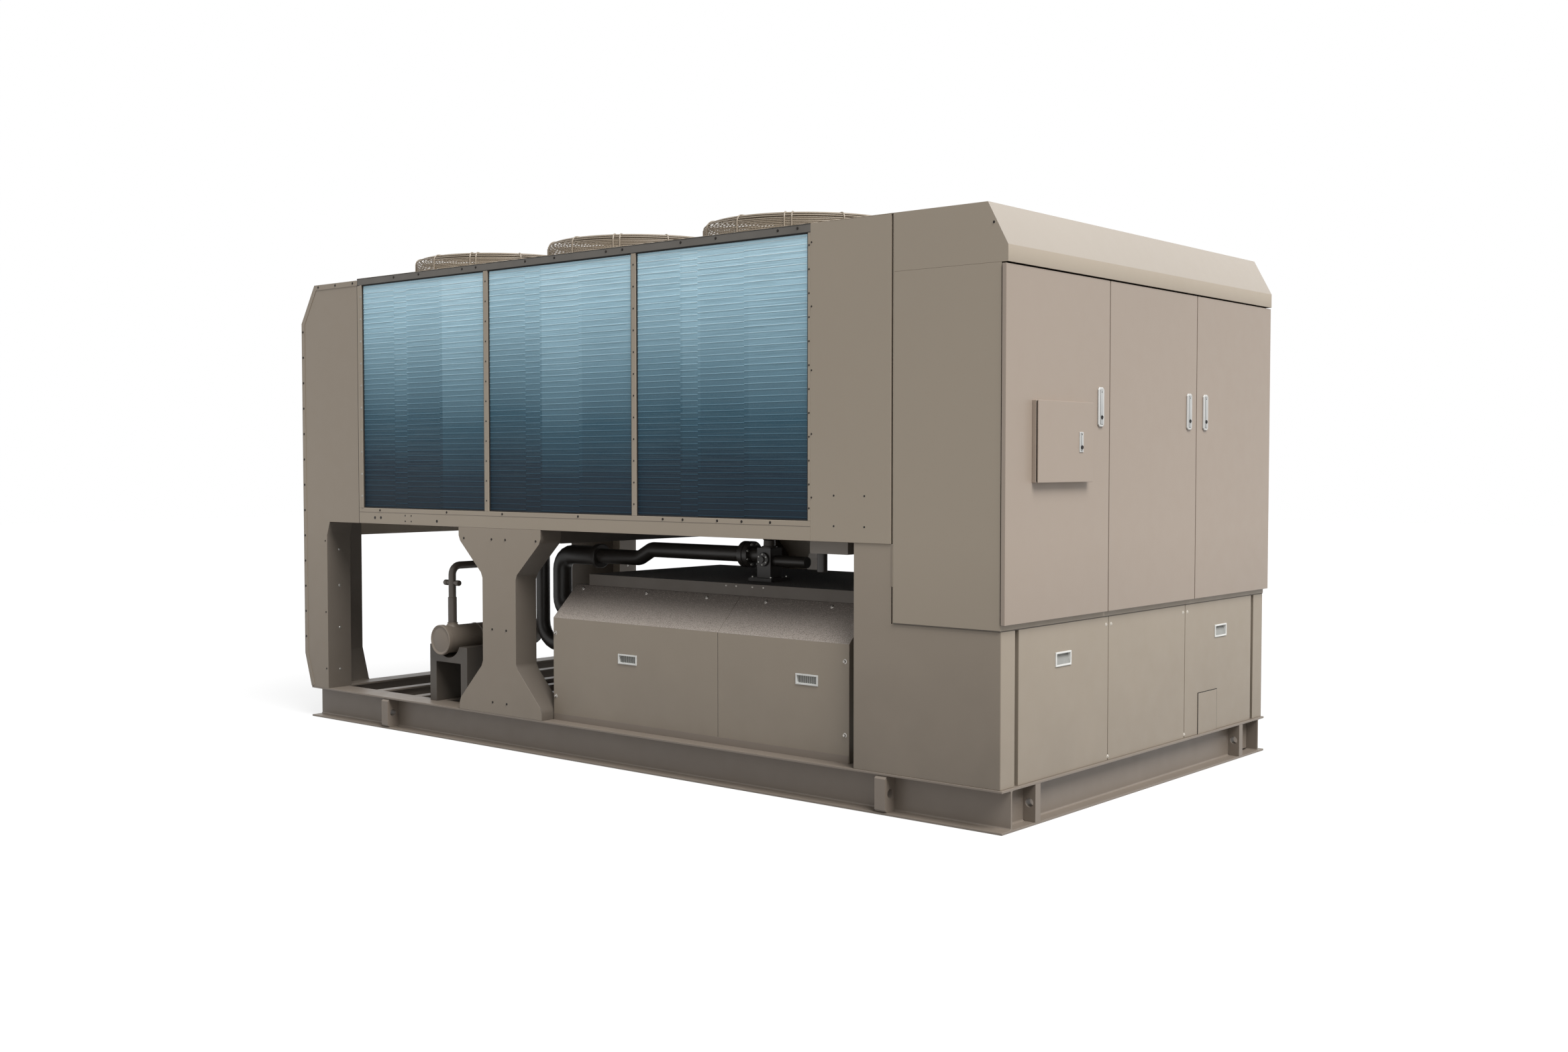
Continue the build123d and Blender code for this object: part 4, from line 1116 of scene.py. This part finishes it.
# Enclosure under the cabinet: side skins, folded corner posts and three lift-off panels, with
# a blank cover plate for cables. Panels are screwed near the top and bottom of each joint.
# Painted shade: the side skins under the cabinet get a darker coat that darkens strongly towards
# the ground.
shaded_skin_paint = powder_coat("shaded_skin_paint", "978B7C", ground_shade=0.6)
eased("enclosure_sides", shaded_skin_paint)
eased("enclosure_posts", panel_paint)
eased("end_panels", panel_paint, 0.0016)
eased("cable_plate", panel_paint, 0.0008)
panel_boxes = sorted(solids_of("end_panels"), key=lambda box: box[0].y)
end_face = panel_boxes[0][1].x
panel_low, panel_high = panel_boxes[0][0].z, panel_boxes[0][1].z
joint_spots = []
for one, two in zip(panel_boxes, panel_boxes[1:]):
    y = (one[1].y + two[0].y) / 2
    joint_spots += [(end_face, y + aside, panel_high - 0.03) for aside in (-0.02, 0.02)]
    joint_spots += [(end_face, y, panel_low + 0.016)]
post_low, post_high = solids_of("enclosure_posts")[-1]
reveal_back = panel_boxes[0][0].x + 0.002
reveal_front = panel_boxes[0][0].x + 0.0035
# Painted shade: a dark strip in the reveal beside the end panels.
for side in sides:
    near, far = sorted((side * panel_boxes[-1][1].y, side * post_low.y))
    outline = rectangle((near, panel_low), (far, panel_high))
    name = f"panel_reveal_{side}"
    prism(name, outline, reveal_back, reveal_front, 0, inner_shade_paint)
pale_zinc = two_tone("pale_zinc", "BDB7AD", "D8D3CA", 60, 0.4, 0.6)
flat_head = hexagon_head(0.007, 0.003)
copies("joint_screws", flat_head, joint_spots, right, pale_zinc, "panel_paint")
plate_low, plate_high = corners_of("cable_plate")
plate_gap = 0.003
plate_low.z += plate_gap
start, end = plate_low.x, plate_high.x - 0.001
seal_round("cable_plate_edge", plate_low, plate_high, -plate_gap, plate_gap, start, end)
skin_face = corners_of("enclosure_sides")[1].y
skin_step = 0.87
edge_low = (blank_high.x - 0.002, skin_step)
edge_high = (cabinet_start + 0.002, rail_low.z)
side_strips("skin_edge", edge_low, edge_high, shaded_skin_paint, 0.0, skin_face, 0.004)

# Recessed pulls: white moulded frames, snapped into the panels. On the end panels the cup is
# scooped for the fingers, and on the housing it has a ribbed back.
pull_white = two_tone("pull_white", "CFCFCB", "DBDBD7", 30, 0.4)
pull_shade = two_tone("pull_shade", "83837F", "92928E", 30, 0.5)
eased("panel_pulls", pull_white, 0.0012)
rib_count = 9
rib_size = 0.0025
rib_proud = 0.004
pull_rim = 0.007
cup_depth = 0.015
for number, (low, high) in enumerate(solids_of("panel_pulls")):
    name = f"pull_{number}"
    bottom, top = low.z + pull_rim, high.z - pull_rim
    if high.x > end_face:
        back = high.x - cup_depth
        outline = [(high.x - 0.002, bottom), (back, bottom), (back, top)]
        start, end = low.y + pull_rim, high.y - pull_rim
        prism(f"{name}_scoop", outline, start, end, 1, pull_shade)
        continue
    back = low.y + cup_depth
    start, end = low.x + pull_rim, high.x - pull_rim
    for step in range(rib_count):
        x = start + (end - start) * (step + 0.5) / rib_count
        outline = rectangle((x - rib_size / 2, bottom), (x + rib_size / 2, top))
        rib = f"{name}_rib_{step}"
        prism(rib, outline, back, back - rib_proud, 1, pull_shade)

# Compressor housing: panelled boxes whose sloped shoulder and top are covered in speckled
# damping sheet, darkened by painted shade towards the lid. Latch studs hold the panels; the lid
# is foam-faced.
# Painted shade: the housing's coat darkens strongly towards the ground.
housing_paint = powder_coat("housing_paint", "A09484", ground_shade=0.52)
housing = eased("compressor_housing", housing_paint, 0.0015)
housing_low, housing_high = corners_of("compressor_housing")
slope_low = 0.629
slope_depth = 0.147
damping = Finish("damping_sheet", roughness=0.6)
slope_share = (damping.z - slope_low) / (housing_high.z - slope_low)
grains = damping.noise(330, 2.0)
# Painted shade: the sheet darkens from its lower edge up to the lid, in the shade of the deck
# above.
sheet = damping.blend(slope_share.limited(), "A89E95", "655D57")
sheet = damping.blend((grains > 0.54) * 0.5, sheet, "403A35")
sheet = damping.blend((damping.noise(210, 1.0) > 0.62) * 0.35, sheet, "B5ADA2")
damping.feed("Base Color", sheet)
damping.bump(grains, 0.0004)
second_finish(housing, damping, lambda face: face.normal.z > 0.3)
lid = eased("compressor_lid", powder_coat("lid_edge", "575049", roughness=0.6, ground_shade=0.3), 0.002)
lid_foam = Finish("lid_foam", roughness=0.75)
lid_grains = lid_foam.noise(260, 2.0)
lid_foam.feed("Base Color", lid_foam.blend(lid_grains > 0.57, "2B2826", "625D57"))
lid_foam.bump(lid_grains, 0.0003)
second_finish(lid, lid_foam, lambda face: face.normal.z > 0.5)
stud_steel = two_tone("stud_steel", "8B8782", "BDB9B3", 40, 0.35, 0.9)
stud = turned([(0, 0.008), (0.005, 0.008), (0.006, 0.006), (0.006, 0.002), (0.0095, 0)], 20)
slope_way = tuple(Vector((0, slope_low - housing_high.z, slope_depth)).normalized())
front_face = housing_low.y
stud_drop = 0.016
stud_y, stud_z = front_face + slope_depth - stud_drop, housing_high.z - stud_drop
stud_spots = [(x, stud_y, stud_z) for x in (-0.25, 0.16, 0.524, 0.86, 1.211)]
copies("latch_studs", stud, stud_spots, slope_way, stud_steel, "motor_metal")
edge_studs = [(-0.297, front_face, 0.559), (-0.297, front_face, 0.269)]
edge_studs += [(1.378, front_face, 0.56), (1.378, front_face, 0.27)]
copies("edge_studs", stud, edge_studs, front, stud_steel, "motor_metal")
lid_low, lid_high = corners_of("compressor_lid")
lid_screws = [(x, lid_low.y, lid_high.z - 0.012) for x in (0.62, 0.678, 0.769, 0.83)]
copies("lid_screws", hexagon_head(0.004, 0.002), lid_screws, front, stud_steel, "motor_metal")
seam_x = 0.705
seam_half = 0.0012
seam = rectangle((front_face + 0.001, 0.162), (front_face + 0.004, slope_low))
start, end = seam_x - seam_half, seam_x + seam_half
prism("housing_seam", seam, start, end, 0, black_rubber)
skirt_low = (housing_low.x + 0.004, housing_low.z)
skirt_outline = rectangle(skirt_low, (housing_high.x - 0.004, housing_low.z + 0.03))
start, end = front_face - 0.0015, front_face + 0.004
prism("housing_skirt_0", skirt_outline, start, end, 1, base_paint)

# Vessel: a painted steel shell with a dished, lipped cap and a weld seam, on a welded stand.
# A sleeve on top carries the riser.
dark_steel = powder_coat("dark_steel", "4A443D", roughness=0.5, ground_shade=0.3)
vessel_paint = powder_coat("vessel_paint", "82776B", ground_shade=0.25)
vessel_low, vessel_high = corners_of("vessel")
vessel_length = vessel_high.y - vessel_low.y
vessel_shift = 0.028
cap_radius = 0.074
cap_length = 0.026
radius = 0.068
band = 0.0025
shell = [(0, 0.0), (radius * 0.5, 0.001), (radius * 0.88, 0.006), (cap_radius - 0.004, 0.001)]
shell += [(cap_radius, 0.004), (cap_radius, cap_length - 0.003), (cap_radius - 0.003, cap_length)]
shell += [(radius, cap_length)]
for place in (0.215, 0.45):
    shell += [(radius, place), (radius + band, place + 0.003), (radius + band, place + 0.007)]
    shell += [(radius, place + 0.010)]
shell += [(radius, vessel_length - 0.02), (radius * 0.9, vessel_length - 0.006)]
shell += [(radius * 0.5, vessel_length), (0, vessel_length)]
vessel_x = (vessel_low.x + vessel_high.x) / 2 - vessel_shift
vessel_z = vessel_low.z + cap_radius + 0.012
vessel_end = [(vessel_x, vessel_low.y, vessel_z)]
vessel = copies("vessel_shell", turned(shell, 40), vessel_end, rear, vessel_paint, "pipe_paint")
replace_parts(vessel, "vessel")
eased("vessel_stand", dark_steel, 0.002)

# Pipework: bent steel and copper tube in dark paint, with clamps, flanges and bolts. The riser
# stands in the vessel's sleeve, and the suction line has a valve with its bonnet on top.
pipe_black = two_tone("pipe_black", "2A2724", "3B3733", 9, 0.42, 0.0, 4.0)
pipe_black.bump(pipe_black.noise(240), 0.00015)
riser_paint = powder_coat("riser_paint", "5C544D", roughness=0.4, ground_shade=0.1)
pipe_y = -0.7
riser_y = -0.99
riser_top = 0.83
discharge_x = -0.782
discharge_radius = 0.034
suction_x = -0.64
suction_level = 0.893
suction_low = 0.61
clamp_x = -0.388
clamp_width = 0.026
run_rise = 0.042
run_level = suction_level + run_rise
run_end = 0.543
riser_path = [
    (vessel_x, riser_y, vessel_z + radius + 0.012), (vessel_x, riser_y, riser_top),
    (vessel_x, pipe_y, riser_top), (discharge_x - discharge_radius, pipe_y, riser_top),
]
riser = wires("riser", [riser_path], riser_paint, "pipe_paint", 0.0185, 0.045, 20)
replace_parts(riser, "riser_pipe")
discharge_path = [(discharge_x, rail_low.z), (discharge_x, 0.45), (housing_low.x, 0.45)]
suction_path = [(housing_low.x, suction_low), (suction_x, suction_low)]
suction_path += [(suction_x, suction_level), (clamp_x, suction_level)]
run_path = [(clamp_x + clamp_width, suction_level), (-0.107, suction_level)]
run_path += [(-0.027, run_level), (0.648, run_level)]
for name, node, corners, pipe_radius, bend, facets in (
    ("discharge", "discharge_pipe", discharge_path, discharge_radius, 0.11, 24),
    ("suction", "suction_pipe", suction_path, 0.046, 0.075, 28),
    ("valve_run", "valve_run", run_path, 0.035, 0.06, 24),
):
    path = [(x, pipe_y, z) for x, z in corners]
    pipe = wires(name, [path], pipe_black, "pipe_paint", pipe_radius, bend, facets)
    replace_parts(pipe, node)


def fitting(name, profile, segments, spot, facing, finish):
    """A turned fitting at one spot of the pipework."""
    copies(name, turned(profile, segments), [spot], facing, finish, "pipe_paint")


bore = 0.025
sleeve = [(bore + 0.012, radius - 0.012), (bore + 0.004, radius + 0.002), (bore, radius + 0.006)]
sleeve += [(bore, radius + 0.014), (0, radius + 0.014)]
fitting("vessel_sleeve", sleeve, 28, (vessel_x, riser_y, vessel_z), up, vessel_paint)
collar = [(0.018, 0), (0.0215, 0.002), (0.0215, 0.128), (0.018, 0.131)]
fitting("riser_collar", collar, 28, (vessel_x, riser_y, 0.545), up, riser_paint)
tee = [(0, -0.055), (0.013, -0.055), (0.014, -0.052), (0.014, -0.035), (0.010, -0.033)]
tee += [(0.010, 0.033), (0.014, 0.035), (0.014, 0.052), (0.013, 0.055), (0, 0.055)]
fitting("riser_tee", tee, 18, (vessel_x, riser_y, 0.745), right, riser_paint)
bore = 0.0322
clamp = [(bore, 0), (0.054, 0), (0.058, 0.003), (0.058, 0.023), (0.054, 0.026), (bore, 0.026)]
fitting("suction_clamp", clamp, 32, (clamp_x, pipe_y, suction_level), right, pipe_black)
flange = [(0.02, 0), (0.056, 0), (0.058, 0.002), (0.058, 0.024), (0.056, 0.026), (0.047, 0.027)]
flange += [(0.047, 0.029), (0.056, 0.030), (0.058, 0.032), (0.058, 0.054), (0.056, 0.056)]
flange += [(0.02, 0.056)]
fitting("run_flanges", flange, 32, (run_end, pipe_y, run_level), right, pipe_black)
bolt = hexagon_head(0.007, 0.006)
for name, x, way in (("bolts", run_end + 0.056, right), ("heads", run_end, left)):
    spots = ring_of((x, pipe_y, run_level), 0.047, 8, 0, 0.4)
    copies(f"flange_{name}", bolt, spots, way, zinc, "pipe_paint")
eased("valve", pipe_black, 0.003, segments=3)
valve_x = 0.686
valve_level = 0.918
valve_front = pipe_y - 0.038
cover = [(0, 0.016), (0.012, 0.016), (0.014, 0.010), (0.028, 0.009), (0.030, 0.007), (0.030, 0)]
fitting("valve_cover", cover, 28, (valve_x, valve_front, valve_level), front, pipe_black)
bonnet = [(0, 0.052), (0.013, 0.052), (0.014, 0.036), (0.025, 0.033), (0.026, 0.010)]
bonnet += [(0.034, 0.008), (0.034, 0)]
fitting("valve_bonnet", bonnet, 24, (valve_x, pipe_y, 0.966), up, dark_steel)
valve_bolts = ring_of((valve_x, valve_front - 0.0085, valve_level), 0.023, 6, 1, 0.5)
copies("valve_bolts", hexagon_head(0.0045, 0.004), valve_bolts, front, zinc, "pipe_paint")
foot_half = 0.052
foot_level = lid_high.z + 0.014
foot_bolts = [
    (valve_x + along * foot_half, pipe_y + across * foot_half, foot_level)
    for along in (-1, 1) for across in (-1, 1)
]
large_head = hexagon_head(0.008, 0.007)
copies("foot_bolts", large_head, foot_bolts, up, zinc, "pipe_paint")
hanger = eased("hanging_box", powder_coat("hanger_paint", "8A8279", ground_shade=0.0), 0.003)
box_foot = rail_low.z - 0.058
second_finish(hanger, pipe_black, lambda face: face.center.z < box_foot)

# Evaporator: a long shell jacketed in black foam, with bolted end caps and two water nozzles
# that open to the rear, on two steel cradles.
foam_black = two_tone("foam_black", "171615", "282624", 120, 0.85, 0.0, 3.0)
foam_black.bump(foam_black.noise(120, 3.0), 0.0012)
jacket_low, jacket_high = corners_of("evaporator")
length = jacket_high.x - jacket_low.x
axis_y = 0.52
axis_z = 0.5
radius = 0.25
flange_radius = 0.268
flange_width = 0.036
cap_reach = 0.12
cap_bolt_count = 24
band_half = 0.004
dome = [
    (radius * 0.97 * sin(angle), cap_reach * (1 - cos(angle)))
    for angle in spread(0, pi / 2, 8)
]
cap = dome + [(flange_radius, cap_reach), (flange_radius, cap_reach + flange_width)]
cap += [(radius, cap_reach + flange_width)]
bands = []
for place in (0.33, 0.66):
    middle = cap_reach + (length - 2 * cap_reach) * place
    bands += [(radius, middle - band_half), (radius - 0.004, middle)]
    bands += [(radius, middle + band_half)]
jacket = turned(cap + bands + [(reach, length - along) for reach, along in reversed(cap)], 64)
spots = [(jacket_low.x, axis_y, axis_z)]
shell = copies("evaporator_jacket", jacket, spots, right, foam_black, "insulation")
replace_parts(shell, "evaporator")
reach = jacket_high.y - axis_y
nozzle = [(0.064, 0.1), (0.064, reach), (0.074, reach), (0.078, reach - 0.004)]
nozzle += [(0.078, reach - 0.026), (0.070, reach - 0.032), (0.070, 0.2)]
nozzle_spots = [(x, axis_y, axis_z) for x in (-0.1, 1.15)]
copies("water_nozzles", turned(nozzle, 36), nozzle_spots, rear, dark_steel, "insulation")
cap_bolts = []
cap_ways = []
for x, way in ((jacket_low.x + cap_reach, left), (jacket_high.x - cap_reach, right)):
    cap_bolts += ring_of((x, axis_y, axis_z), flange_radius - 0.01, cap_bolt_count, 0)
    cap_ways += [way] * cap_bolt_count
copies("cap_bolts", large_head, cap_bolts, cap_ways, zinc, "insulation")
eased("evaporator_cradles", base_paint, 0.002)
